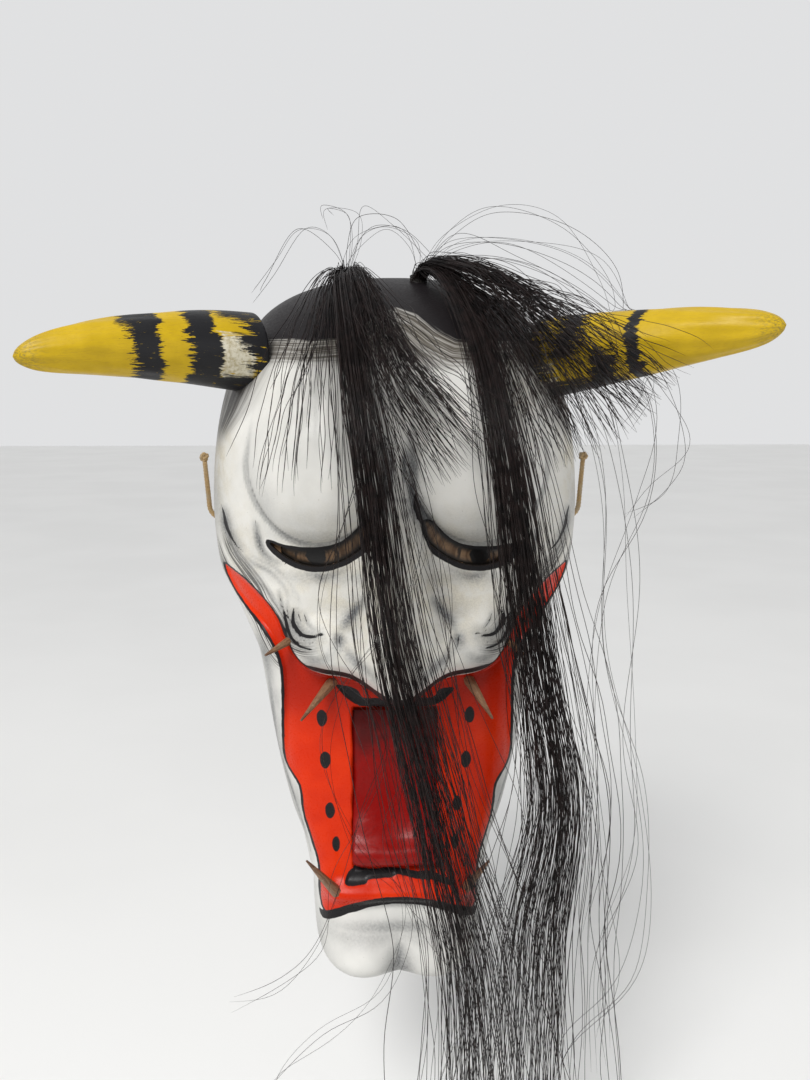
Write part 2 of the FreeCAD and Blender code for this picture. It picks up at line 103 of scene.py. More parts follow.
# Engraved and painted strokes of the left half: points, width, engraved depth, black share, grey share; the
# soft grey beside a line is partly painted shade in its groove
STROKES = [
    ([(-86, 15), (-84.2, 10.1), (-83, 4.6), (-80.2, -0.3), (-76.7, -4.2), (-71.5, -7)], 3.0, 1.6, 1.0, 0.7),
    ([(-47.5, -28), (-48.3, -35.2), (-46.9, -38.7), (-43.8, -41), (-38.6, -40.7),
     (-31.5, -38.6)], 2.9, 1.2, 1.0, 0.65),
    ([(-52.8, -27), (-51.4, -37.8), (-49.3, -43.5), (-45.4, -46.3), (-40, -46.5),
     (-33.5, -43.8)], 2.4, 1.2, 1.0, 0.6),
    ([(-45.8, -28), (-45.4, -33), (-43, -37.2), (-38.5, -39.2)], 0.9, 0.5, 0.35, 0.4),
    ([(-50, -41), (-47, -44.3), (-42.5, -45), (-37, -43.4)], 0.8, 0.4, 0.4, 0.3),
    ([(-85.5, 1), (-76.6, -10.5), (-68.7, -17.8), (-61.2, -22.2), (-56.4, -27.8), (-52.8, -35.6),
     (-50.8, -43.9), (-46, -48)], 1.3, 0.8, 0.0, 0.5),
    ([(-76, -6.5), (-67.8, -11.1), (-59.7, -13.6), (-53.4, -18.4), (-50.3, -23.7),
     (-50.4, -30.2)], 1.0, 0.6, 0.0, 0.45),
    ([(-71.1, -6.8), (-62.8, -9.6), (-56.5, -11.8), (-51.9, -15.5), (-48.9, -20.1),
     (-47.4, -28)], 0.8, 0.5, 0.0, 0.35),
    ([(-86, -2), (-80.3, -7.4), (-71.3, -12.4), (-64, -18), (-58, -24)], 1.0, 0.5, 0.0, 0.5),
    ([(-84.5, 3), (-82, -3), (-77, -7.5), (-70, -11)], 1.1, 0.6, 0.45, 0.5),
    ([(-66, -9), (-58, -11.5), (-52, -16), (-46.5, -22), (-44.5, -30)], 0.7, 0.4, 0.0, 0.3),
    ([(-66, 10), (-65.3, 3.4), (-63.5, -3.6), (-59.6, -7.7), (-52, -10.2)], 1.5, 1.2, 0.35, 0.75),
    ([(-44, -12.5), (-40.2, -13.8), (-34.4, -15.3), (-28.7, -13.8), (-20.1, -9.8)], 2.0, 0.5, 0.0, 0.6),
    ([(-14, -22), (-21.6, -32), (-25.8, -37.7), (-26.5, -42.4)], 1.5, 1.4, 0.0, 0.62),
    ([(-25.8, -38), (-26.8, -42.6), (-24.2, -46)], 2.3, 1.5, 0.5, 0.95),
    ([(-26.3, -42.4), (-23.5, -45.2), (-19.2, -49.1), (-13, -51.8), (-9.6, -55.6),
     (-7, -60)], 1.9, 1.2, 0.0, 0.55),
    ([(-46, -51.5), (-36, -51.3), (-27.7, -45.5)], 1.9, 0.5, 0.0, 0.45),
    ([(-55, -20), (-53.6, -28), (-52.6, -35), (-49.5, -41)], 1.0, 0.3, 0.6, 0.5),
    ([(-50.5, -24), (-50.8, -31), (-49.6, -37), (-46, -42), (-41, -43.6), (-36, -42.3)], 1.0, 0.4, 0.6, 0.5),
    ([(-43, -30), (-42, -34.5), (-38, -38), (-33, -38.2)], 0.9, 0.3, 0.5, 0.45),
    ([(-56, -33), (-54.4, -40), (-51.4, -45.5), (-46.5, -48.6), (-40, -48.9)], 0.9, 0.3, 0.5, 0.5),
    ([(-7.5, 33), (-6.8, 27), (-7.2, 21), (-8.5, 14)], 1.5, 0.9, 0.4, 1.0),
    ([(-7, 26), (-8, 18), (-10, 12), (-13, 7), (-15, 3)], 3.6, 0.4, 1.0, 0.9),
    ([(-12, 16), (-14, 8), (-18, 1)], 2.4, 0.6, 0.0, 0.8),
    ([(0, 22), (-4, 20.5), (-7, 22)], 1.1, 0.6, 0.0, 0.6),
    ([(-66, -52), (-62.5, -70), (-61.5, -90), (-60, -108), (-53, -128), (-49, -150)], 1.5, 0.5, 0.0, 0.6),
    ([(-60, -100), (-57, -114), (-51, -130), (-46, -146), (-43, -160)], 1.1, 0.4, 0.3, 0.6),
    ([(-68, -45.9), (-64.2, -54.7), (-62.4, -69.6), (-60, -76)], 2.6, 0.4, 0.0, 0.55),
    ([(-7.5, 48), (-7, 34), (-7, 22), (-8, 12)], 1.6, 1.3, 0.35, 0.7),
    ([(-3, 44), (-2.6, 34), (-3, 24)], 1.0, 0.6, 0.0, 0.5),
    ([(-9, 17), (-4, 15), (0, 15.5)], 1.8, 1.2, 0.0, 0.6),
]


def clamp01(a):
    return np.clip(a, 0.0, 1.0)


def ramp(low, high, at):
    """0 at low, 1 at high, smooth between; low may be the larger."""
    t = clamp01((np.asarray(at, float) - low) / (high - low))
    return t * t * (3 - 2 * t)


def unit(v):
    """Vectors scaled to length 1 along the last axis."""
    return v / np.maximum(np.linalg.norm(v, axis=-1, keepdims=True), 1e-9)


def travelled(points):
    """Distance along a line of points from its start."""
    return np.concatenate([[0], np.cumsum(np.linalg.norm(np.diff(points, axis=0), axis=1))])


def circle(count):
    """Angles evenly spaced round a circle."""
    return np.linspace(0, 2 * np.pi, count, endpoint=False)


def table(rows, at):
    """Smooth monotone curve through (position, value) rows."""
    xs, ys = np.array(rows, float).T
    at = np.clip(at, xs[0], xs[-1])
    h = np.diff(xs)
    slope = np.diff(ys) / h
    tangent = np.zeros_like(ys)
    tangent[0], tangent[-1] = slope[0], slope[-1]
    a, b = slope[:-1], slope[1:]
    same = a * b > 0
    tangent[1:-1][same] = (2 * a * b)[same] / (a + b)[same]
    i = np.clip(np.searchsorted(xs, at, side="right") - 1, 0, len(xs) - 2)
    t = (at - xs[i]) / h[i]
    return (ys[i] * (1 + 2 * t) * (1 - t) ** 2 + tangent[i] * h[i] * t * (1 - t) ** 2
            + ys[i + 1] * t * t * (3 - 2 * t) + tangent[i + 1] * h[i] * t * t * (t - 1))


def roundness(z):
    b = (z - MID_Z) / HALF_HEIGHT
    return np.sqrt(np.clip(1 - b * b, 0, None))


def half_width(z):
    return roundness(z) * table(WIDTH_BY_HEIGHT, z)


def plain_depth(x, z):
    """Depth of the face without its features."""
    s = np.minimum(np.abs(x) / np.maximum(half_width(z), 1e-6), 1.0)
    jaw = 1 - ramp(-60, -10, z)
    return roundness(z) * table(DEPTH_BY_HEIGHT, z) * (1 - s ** (3.3 + 3.7 * jaw)) ** (1 / (2.0 + 0.2 * jaw))


def lump(x, z, cx, cz, rx, rz, power=1.0):
    """A mirrored bell of height 1."""
    return np.exp(-((((np.abs(x) - cx) / rx) ** 2 + ((z - cz) / rz) ** 2) ** power))


def brow(x, z):
    """Swelling of the forehead over each eye."""
    dz = z - BROW_Z
    r2 = ((np.abs(x) - BROW_X) / 32.0) ** 2 + (dz / np.where(dz < 0, 37.0, 62.0)) ** 2
    return BROW_RISE * np.clip(1 - r2, 0, None) ** (0.5 + 1.0 * ramp(-10, 25, dz))


def nose(x, z):
    return table(NOSE_HEIGHT, z) * np.exp(-(np.abs(x) / table(NOSE_WIDTH, z)) ** 2.2)


def rounded(points, closed=True, steps=4):
    """The same outline through more points, on Catmull-Rom curves."""
    p = np.array(points, float)
    n = len(p)
    out = []
    for i in range(n if closed else n - 1):
        if closed:
            a, b, c, d = p[i - 1], p[i], p[(i + 1) % n], p[(i + 2) % n]
        else:
            a, b, c, d = p[max(i - 1, 0)], p[i], p[i + 1], p[min(i + 2, n - 1)]
        for k in range(steps):
            t = k / steps
            out.append(0.5 * (2 * b + (c - a) * t + (2 * a - 5 * b + 4 * c - d) * t * t
                              + (3 * b - a - 3 * c + d) * t ** 3))
    if not closed:
        out.append(p[-1])
    return np.array(out)


def near_line(x, z, line, closed=False):
    """Distance to a line of points, and the share of its length at the nearest point."""
    ends = np.vstack([line, line[:1]]) if closed else line
    a, b = ends[:-1], ends[1:]
    lengths = np.hypot(*(b - a).T)
    starts = np.concatenate([[0], np.cumsum(lengths)[:-1]])
    best = np.full(x.shape, 1e9)
    share = np.zeros(x.shape)
    for (ax, az), (bx, bz), length, start in zip(a, b, lengths, starts):
        if length < 1e-9:
            continue
        t = clamp01(((x - ax) * (bx - ax) + (z - az) * (bz - az)) / length ** 2)
        d = np.hypot(x - ax - t * (bx - ax), z - az - t * (bz - az))
        closer = d < best
        best = np.where(closer, d, best)
        share = np.where(closer, (start + t * length) / lengths.sum(), share)
    return best, share


def inside(x, z, outline):
    """Signed distance into a closed outline, positive inside."""
    d, _ = near_line(x, z, outline, closed=True)
    odd = np.zeros(x.shape, bool)
    for (ax, az), (bx, bz) in zip(outline, np.roll(outline, -1, axis=0)):
        if az == bz:
            continue
        crosses = (az > z) != (bz > z)
        odd ^= crosses & (x < ax + (z - az) * (bx - ax) / (bz - az))
    return np.where(odd, d, -d)


def mirror(points):
    return [(-x, z) for x, z in points]


MOUTH = rounded(UPPER_LIP + mirror(UPPER_LIP[:-1])[::-1] + mirror(OUTER_LIP[1:])[::-1] + OUTER_LIP)
EYES = [rounded(EYE), rounded(mirror(EYE))]
HOLLOWS = [rounded(UPPER_HOLLOW), rounded(LOWER_HOLLOW)]


def stroke_fields(x, z):
    """Engraved depth, black paint and soft grey of the strokes on both halves; the grey is partly painted shade
    in the grooves.
    """
    cut, black, grey = np.zeros(x.shape), np.full(x.shape, -9.0), np.zeros(x.shape)
    for points, width, deep, dark, soft in STROKES:
        line = rounded(points, closed=False)
        d, share = near_line(-np.abs(x), z, line)
        taper = np.maximum(np.minimum(share / 0.35, (1 - share) / 0.65), 0.02) ** 0.8
        cut += deep * taper * np.exp(-(d / (0.8 * width)) ** 2)
        grey = np.maximum(grey, min(1.35 * soft, 0.95) * taper ** 0.7 * np.exp(-(d / (1.5 * width)) ** 2))
        if dark:
            black = np.maximum(black, dark * 0.42 * width * taper - d)
    return cut, black, grey


def nearest_inside(x, z, outlines):
    """Signed distance into either of two outlines."""
    return np.maximum(inside(x, z, outlines[0]), inside(x, z, outlines[1]))


def depth(x, z, detail=True):
    """Depth of the painted face in front of the rim's plane."""
    face = brow(x, z) + nose(x, z) + sum(rise * lump(x, z, *where) for rise, *where in LUMPS)
    trough = ramp(*TROUGH_SIDE, np.abs(x - TONGUE_X)) * ramp(*TROUGH_BOTTOM, z) * ramp(*TROUGH_TOP, z)
    recess = MOUTH_DEPTH * ramp(-130, -80, z)
    lip = LOWER_LIP_RISE * np.exp(-((z - LOWER_LIP_Z) / LOWER_LIP_SPREAD) ** 2) * ramp(40, 30, np.abs(x))
    into = ramp(-1.5, 2.5, inside(x, z, MOUTH))
    total = plain_depth(x, z) + face * (1 - into) + (lip - TROUGH_DEPTH * trough - recess) * into
    if detail:
        hollow = ramp(-0.2, 1.2, nearest_inside(x, z, HOLLOWS))
        total = total - stroke_fields(x, z)[0] * (1 - into) - 0.9 * hollow
    return total


# ---- meshes ----
def put(name, data):
    """A new object in the scene."""
    made = bpy.data.objects.new(name, data)
    bpy.context.scene.collection.objects.link(made)
    return made


def new_piece(name, verts, faces, material, slot, replaced=(), smooth=True):
    """A painted piece from vertices in millimetres."""
    mesh = bpy.data.meshes.new(name)
    mesh.from_pydata((np.asarray(verts, float) * MM).tolist(), [], [list(map(int, f)) for f in faces])
    mesh.validate()
    mesh.update()
    if smooth:
        mesh.shade_smooth()
    piece = put(name, mesh)
    mesh.materials.append(material)
    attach(piece, "root")
    if replaced:
        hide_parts(*replaced)
    return piece


def store(piece, **fields):
    """Values per vertex for the paint to read."""
    for name, values in fields.items():
        layer = piece.data.attributes.new(name, "FLOAT", "POINT")
        layer.data.foreach_set("value", np.asarray(values, np.float32).ravel())


def folded_grid(across, up):
    """A square grid folded onto the rim's round outline: x and z of each point."""
    s, t = (np.sin(np.linspace(-1, 1, n + 1) * np.pi / 2 * GRID_SPREAD) / math.sin(np.pi / 2 * GRID_SPREAD)
            for n in (across, up))
    s, t = np.meshgrid(s, t, indexing="ij")
    z = MID_Z + HALF_HEIGHT * t * np.sqrt(1 - s * s / 2)
    return s * np.sqrt(1 - t * t / 2) * table(WIDTH_BY_HEIGHT, z), z


def grid_faces(rows, columns, flip=False):
    i, j = np.meshgrid(np.arange(rows - 1), np.arange(columns - 1), indexing="ij")
    a = (i * columns + j).ravel()
    quads = np.stack([a, a + columns, a + columns + 1, a + 1], 1)
    return quads[:, ::-1] if flip else quads


def clip_holes(flat, faces, signed):
    """Cuts the faces along signed = 0 and keeps the part where it is negative. flat holds (x, z) rows."""
    points = [tuple(p) for p in flat]
    value = list(signed)
    on_edge, kept = {}, []

    def crossing(a, b):
        key = (min(a, b), max(a, b))
        if key not in on_edge:
            t = value[a] / (value[a] - value[b])
            points.append(tuple(np.array(points[a]) + t * (np.array(points[b]) - np.array(points[a]))))
            value.append(0.0)
            on_edge[key] = len(points) - 1
        return on_edge[key]

    worst = signed[faces].max(1)
    best = signed[faces].min(1)
    kept += [list(map(int, f)) for f in faces[worst <= 0]]
    for f in faces[(worst > 0) & (best < 0)]:
        ring = []
        for a, b in zip(f, np.roll(f, -1)):
            if value[a] <= 0:
                ring.append(int(a))
            if (value[a] < 0 < value[b]) or (value[b] < 0 < value[a]):
                ring.append(crossing(int(a), int(b)))
        if len(ring) > 2:
            kept.append(ring)
    on_cut = [v == 0.0 for v in value]
    return np.array(points), kept, on_cut


def boundary(faces, on_cut):
    """Edges between two cut points that only one face has, in that face's order."""
    seen = {}
    for f in faces:
        for a, b in zip(f, f[1:] + f[:1]):
            if on_cut[a] and on_cut[b]:
                seen[(a, b)] = seen.get((a, b), 0) + 1
    return [(a, b) for a, b in seen if (b, a) not in seen]


# ---- node helpers ----
class Nodes:
    """A node tree under construction."""

    def __init__(self, tree):
        self.tree = tree

    def feed(self, socket, value):
        """Links an output or sets a constant; None leaves the socket alone."""
        if isinstance(value, bpy.types.NodeSocket):
            self.tree.links.new(value, socket)
        elif value is not None:
            socket.default_value = (*value, 1) if socket.type == "RGBA" else value

    def node(self, kind, inputs=(), **settings):
        made = self.tree.nodes.new("ShaderNode" + kind)
        for key, value in settings.items():
            setattr(made, key, value)
        for key, value in dict(inputs).items():
            self.feed(made.inputs[key], value)
        return made


class Paint(Nodes):
    """A material under construction: each method adds nodes and returns their output, in millimetres."""

    def __init__(self, name):
        self.material = bpy.data.materials.new(name)
        self.material.use_nodes = True
        super().__init__(self.material.node_tree)

    def field(self, name):
        return self.node("Attribute", attribute_name=name).outputs["Fac"]

    def place(self, stretch=(1, 1, 1)):
        where = self.node("TexCoord").outputs["Object"]
        size = tuple(s / MM for s in stretch)
        return self.node("Mapping", {"Vector": where, "Scale": size}).outputs[0]

    def vector(self, x, y, z=0.0):
        return self.node("CombineXYZ", {"X": x, "Y": y, "Z": z}).outputs[0]

    def noise(self, where, size, detail=3.0, rough=0.55, distort=0.0):
        inputs = {"Scale": 1 / size, "Detail": detail, "Roughness": rough, "Distortion": distort}
        return self.node("TexNoise", {"Vector": where, **inputs}).outputs["Fac"]

    def math(self, op, a, b):
        return self.node("Math", {0: a, 1: b}, operation=op).outputs[0]

    def plus(self, a, b):
        return self.math("ADD", a, b)

    def times(self, product, *factors):
        for factor in factors:
            product = self.math("MULTIPLY", product, factor)
        return product

    def fade(self, value, low, high, to_low=0.0, to_high=1.0):
        inputs = {"Value": value, "From Min": low, "From Max": high, "To Min": to_low, "To Max": to_high}
        return self.node("MapRange", inputs, interpolation_type="SMOOTHSTEP").outputs[0]

    def mix(self, share, a, b):
        return self.node("Mix", {0: share, 6: a, 7: b}, data_type="RGBA").outputs[2]

    def coats(self, ground, *coats):
        """Coats of (share, colour) over the ground colour, one after the other."""
        for share, color in coats:
            ground = self.mix(share, ground, color)
        return ground

    def relief(self, *bumps):
        """Bumps of (height, distance, strength), one over the other."""
        normal = None
        for height, distance, strength in bumps:
            inputs = {"Height": height, "Distance": distance * MM, "Strength": strength, "Normal": normal}
            normal = self.node("Bump", inputs).outputs[0]
        return normal

    def finish(self, color, rough, normal=None, **others):
        inputs = self.tree.nodes["Principled BSDF"].inputs
        for key, value in {"Base Color": color, "Roughness": rough, "Normal": normal, **others}.items():
            self.feed(inputs[key.replace("_", " ")], value)
        return self.material


# ---- camera, floor and light ----
CAMERA_AT = (-8.37, -474.65, 63.59)
CAMERA_AXES = (0.999567, -0.029427, -0.00071), (0.005281, 0.155547, 0.987814), (-0.028958, -0.98739, 0.155635)
CAMERA_LENS, SENSOR_HEIGHT = 29.1, 36.0
LIGHT_TARGET = Vector((0, -0.05, -0.05))
FLOOR_Z, FLOOR_REACH = -0.345, 8


def make_camera():
    """Slightly above the mask's middle, looking a little down and to the right."""
    data = bpy.data.cameras.new("camera")
    data.sensor_fit = "VERTICAL"
    data.sensor_height = SENSOR_HEIGHT
    data.lens = CAMERA_LENS
    camera = put("camera", data)
    camera.matrix_world = Matrix.Translation(Vector(CAMERA_AT) * MM) @ Matrix(CAMERA_AXES).transposed().to_4x4()
    bpy.context.scene.camera = camera


def make_light(name, at, size, energy, color=(1, 1, 1)):
    data = bpy.data.lights.new(name, "AREA")
    data.shape = "DISK"
    data.size, data.energy, data.color = size, energy, color
    light = put(name, data)
    light.location = at
    light.rotation_euler = (LIGHT_TARGET - Vector(at)).to_track_quat("-Z", "Y").to_euler()


def make_floor():
    corners = [(x * FLOOR_REACH, y * FLOOR_REACH, FLOOR_Z) for x, y in ((-1, -1), (1, -1), (1, 1), (-1, 1))]
    mesh = bpy.data.meshes.new("floor")
    mesh.from_pydata(corners, [], [(0, 1, 2, 3)])
    floor = put("floor", mesh)
    paint = Paint("floor_paint")
    tone = paint.fade(paint.noise(paint.place(), 400.0), 0.3, 0.7)
    body = paint.mix(tone, (0.80, 0.80, 0.79), (0.83, 0.83, 0.82))
    mesh.materials.append(paint.finish(body, 0.9, Specular_IOR_Level=0.1))


def make_sky():
    """A soft studio, brighter beyond the mask than behind the camera."""
    world = bpy.data.worlds.new("studio")
    world.use_nodes = True
    studio = Nodes(world.node_tree)
    direction = studio.node("TexCoord").outputs["Generated"]
    ahead = studio.node("SeparateXYZ", {0: direction}).outputs[1]
    limits = {"From Min": -0.1, "From Max": 0.5, "To Min": 0.38, "To Max": 0.76}
    level = studio.node("MapRange", {"Value": ahead, **limits}).outputs[0]
    sky = world.node_tree.nodes["Background"]
    studio.feed(sky.inputs["Color"], (0.985, 0.99, 1.0))
    studio.feed(sky.inputs["Strength"], level)
    bpy.context.scene.world = world


def make_lights():
    sun = bpy.data.lights.new("sun", "SUN")
    sun.energy, sun.angle = 1.15, 0.45
    put("sun", sun).rotation_euler = Vector((-0.35, -0.75, 1.0)).to_track_quat("Z", "Y").to_euler()
    make_light("key", (-0.5, -1.0, 1.0), 0.6, 11.0, (1.0, 0.985, 0.96))
    make_light("fill", (1.0, -0.9, 0.2), 0.8, 2.0)
    bpy.context.scene.view_settings.view_transform = "Standard"


make_camera()
make_floor()
make_sky()
make_lights()


# ---- ear cords ----
# Right cord: control points from the knot inside the wall to the end knot, and where it leaves the face
CORD_ROUTE = [(80.0, -12.6, 0.6), (97.8, -12.0, 1.0), (99.5, -9.2, 18.0), (101.5, -4.9, 32.5)]
KNOT_SEAT = 2.6  # from the end of the cord to the middle of its knot


def spline_points(name, route):
    """Points read from a NURBS spline whose control points are the route's."""
    curve = bpy.data.curves.new(name, "CURVE")
    curve.dimensions = "3D"
    spline = curve.splines.new("NURBS")
    spline.points.add(len(route) - 1)
    for point, place in zip(spline.points, route):
        point.co = (*(Vector(place) * MM), 1)
    spline.order_u = 3
    spline.use_endpoint_u = True
    spline.resolution_u = 24
    holder = bpy.data.objects.new(name, curve)
    mesh = bpy.data.meshes.new_from_object(holder)
    points = np.array([v.co for v in mesh.vertices]) / MM
    bpy.data.objects.remove(holder)
    bpy.data.curves.remove(curve)
    bpy.data.meshes.remove(mesh)
    return points


def frames_along(points):
    """Unit tangent and two unit normals at each point, turning as little as possible."""
    tangent = unit(np.gradient(points, axis=0))
    across = np.zeros_like(points)
    side = np.cross(tangent[0], (0.3, 0.2, 0.93))
    for i, t in enumerate(tangent):
        side = across[i] = unit(side - t * (side @ t))
    return tangent, across, np.cross(tangent, across)


def spokes(angles, u, v):
    """Directions round an axis, one for each angle; u and v may have a row for each ring."""
    return np.cos(angles)[:, None] * u[..., None, :] + np.sin(angles)[:, None] * v[..., None, :]


def ring_faces(rings, sides):
    """Quads between closed rings of points."""
    return [[i * sides + j, i * sides + (j + 1) % sides, (i + 1) * sides + (j + 1) % sides, (i + 1) * sides + j]
            for i in range(rings - 1) for j in range(sides)]


def end_caps(rings, sides):
    """Faces that close the first and the last ring."""
    last = (rings - 1) * sides
    return [list(range(sides))[::-1], list(range(last, last + sides))]


def tube(points, radius, sides, cap=True):
    """Vertices and faces of a round tube along points."""
    _, u, v = frames_along(points)
    ring = points[:, None] + radius * spokes(circle(sides), u, v)
    faces = ring_faces(len(points), sides) + (end_caps(len(points), sides) if cap else [])
    return ring.reshape(-1, 3), faces


def joined(parts):
    """One vertex array and face list out of several."""
    verts, faces, base = [], [], 0
    for v, f in parts:
        verts.append(v)
        faces += [[i + base for i in face] for face in f]
        base += len(v)
    return np.concatenate(verts), faces


def coil(points, radius, turns, phase):
    """A line winding round the given one."""
    _, u, v = frames_along(points)
    along = travelled(points)
    angle = (phase + 2 * np.pi * turns * along / along[-1])[:, None]
    return points + radius * (np.cos(angle) * u + np.sin(angle) * v)


def cord_material():
    paint = Paint("twisted_cord")
    place = paint.place()
    fibres = paint.noise(place, 0.35, 4.0, 0.7)
    tone = paint.mix(paint.fade(fibres, 0.3, 0.75), (0.30, 0.17, 0.06), (0.70, 0.50, 0.24))
    worn = paint.mix(paint.fade(paint.noise(place, 6.0), 0.45, 0.7), tone, (0.45, 0.35, 0.22))
    return paint.finish(worn, 0.62, paint.relief((fibres, 0.25, 1.0)), Sheen_Weight=0.4, Sheen_Roughness=0.5)


def make_knot(name, at, towards, node, material):
    """An overhand knot: a trefoil of cord drawn tight into a small ball, with a short frayed end."""
    axis = unit(np.array(towards, float) - at)
    u = unit(np.cross(axis, (0.2, 0.9, 0.1)))
    axes = np.stack([u, np.cross(axis, u), axis])
    t = np.linspace(0, 2 * np.pi, 61)
    r = 1.05 + 0.55 * np.cos(3 * t)
    strand = at + np.stack([r * np.cos(2 * t), r * np.sin(2 * t), 1.15 * np.sin(3 * t)], 1) @ axes
    parts = [tube(coil(strand, 0.42, 9, k * np.pi), 0.78, 8, cap=False) for k in range(2)]
    core = np.zeros((9, 3))
    core[:, 2] = np.linspace(-1.6, 2.7, 9)
    parts.append(tube(at + core @ axes, 1.25, 10))
    return new_piece(name, *joined(parts), material, "twisted_cord", [node])


def make_cords():
    material = cord_material()
    for name, side in (("left", -1), ("right", 1)):
        path = spline_points("cord_route", [(side * x, y, z) for x, y, z in CORD_ROUTE])
        plies = [tube(coil(path, 0.62, side * 9, 2 * np.pi * k / 3), 0.76, 9) for k in range(3)]
        cord = new_piece("cord_" + name, *joined(plies), material, "twisted_cord", ["ear_cord_" + name])
        for end, node, tip, neighbour in (("inner", "cord_knot_", path[0], path[1]),
                                          ("outer", "cord_end_", path[-1], path[-2])):
            centre = tip + unit(tip - neighbour) * KNOT_SEAT
            make_knot("knot_%s_%s" % (end, name), centre, tip, node + name, material)


make_cords()


# ---- the face ----
# Soft grey (painted shade under the brows, below the eyes and the lip and down the jaw, with some grey brushing
# of the paint itself) and yellowed paint, mirrored: centre, radii, strength
GREY_SPOTS = [(28, -44, 4, 5, 0.35), (20, -30, 5, 12, 0.15), (8, 24, 7, 20, 0.30), (66, -4, 8, 6, 0.12),
    (36, -15, 26, 4, 0.42), (90, 14, 6, 16, 0.40), (58, -108, 5, 14, 0.45), (60, -78, 4, 9, 0.35),
    (50, -134, 4, 14, 0.40), (46, -180, 5, 14, 0.25), (14, -190, 26, 4, 0.35), (2, -206, 5, 11, 0.75),
    (60, 26, 8, 22, 0.12), (0, -212, 30, 6, 0.15), (0, -186, 30, 3.5, 0.6), (40, -200, 4, 14, 0.30),
    (36, 4, 28, 5, 0.34), (36, 12, 25, 7, 0.16), (60, 20, 7, 16, 0.20), (44, -58, 9, 4, 0.25),
    (60, -100, 5, 20, 0.40), (86, -16, 3, 4, 0.55)]
CREAM_SPOTS = [(18, -20, 42, 34, 0.8), (0, -40, 22, 26, 0.5), (86, 38, 8, 26, 1.0), (76, -8, 16, 26, 0.6),
    (26, 92, 24, 6, 0.5)]
# Widths of the black line below and above each eye, and of the thin and heavy parts of the lips' outline
RIM_BELOW, RIM_ABOVE = 2.3, 0.9
LIP_THIN, LIP_THICK = 0.75, 2.3


def spots(x, z, rows):
    total = np.zeros(x.shape)
    for cx, cz, rx, rz, strength in rows:
        total = np.maximum(total, strength * lump(x, z, cx, cz, rx, rz))
    return total


def scalp_distance(x, z):
    """Signed distance into the black scalp."""
    return inside(x, z, np.array(HAIRLINE + [(130, 150), (-130, 150)], float))


def temple_fan(x, z):
    """Position across the brushed temple, 0 at the mask's edge and 1 at the inner end of the brush strokes."""
    outer = half_width(z)
    return (outer - np.abs(x)) / np.maximum(outer - table(TEMPLE, z), 1.0)


def sweep_fields(x, z):
    """Distance across the lines that sweep from the temple round the cheek, and how strong they are."""
    d, share = near_line(-np.abs(x), z, rounded(SWEEP, closed=False))
    return d, ramp(0.5, 3, d) * ramp(11, 6, d) * ramp(0, 0.12, share) * ramp(1.0, 0.85, share)


def face_black(x, z, mouth, black):
    """Signed distance into black paint: lip outline, band under the mouth, dots and eye rims."""
    heavy = ramp(-52, -58, z) * ramp(46, 36, np.abs(x)) * ramp(-120, -90, z)
    lip = LIP_THIN + (LIP_THICK - LIP_THIN) * heavy
    outline = lip - np.abs(mouth + 0.5 * lip + 2.0 * heavy)
    line, share = near_line(x, z, rounded(LIP_BAND, closed=False))
    band = 2.5 - 0.9 * np.abs(2 * share - 1) ** 3 - line
    dots = [(1 - np.hypot((x - cx) / rx, (z - cz) / rz)) * rx for cx, cz, rx, rz in DOTS]
    eye_rim = nearest_inside(x, z, EYES) + RIM_ABOVE + (RIM_BELOW - RIM_ABOVE) * ramp(2, -4, z)
    return np.maximum.reduce([black, outline, band, *dots, eye_rim, nearest_inside(x, z, HOLLOWS)])


def paint_fields(piece, x, z):
    """Everything that the skin's paint reads, for each vertex."""
    _, black, grey = stroke_fields(x, z)
    mouth, scalp, fan = inside(x, z, MOUTH), scalp_distance(x, z), temple_fan(x, z)
    sweep, strength = sweep_fields(x, z)
    wash_reach = 14 + 12 * np.exp(-(x / 20) ** 2)
    # Painted shade in the creases: how far the face lies below the mean of its neighbours 4 mm away, kept off
    # the edges
    step = 4.0
    around = sum(depth(x + a, z + b, False) for a, b in ((step, 0), (-step, 0), (0, step), (0, -step))) / 4
    hollow = ramp(0.10, 1.1, around - depth(x, z, False)) * ramp(0.88, 0.76, np.abs(x) / half_width(z))
    store(piece, hollow=hollow, sweep=sweep, sweep_strength=strength,
          wash=ramp(0.0, 0.55, 1 + scalp / wash_reach),
          temple=ramp(1.0, 0.45, fan) * ramp(40, 54, z) * ramp(100, 92, z), fan=fan, mouth=mouth,
          black=face_black(x, z, mouth, black), grey=np.maximum(grey, spots(x, z, GREY_SPOTS)),
          cream=spots(x, z, CREAM_SPOTS), scalp=scalp)


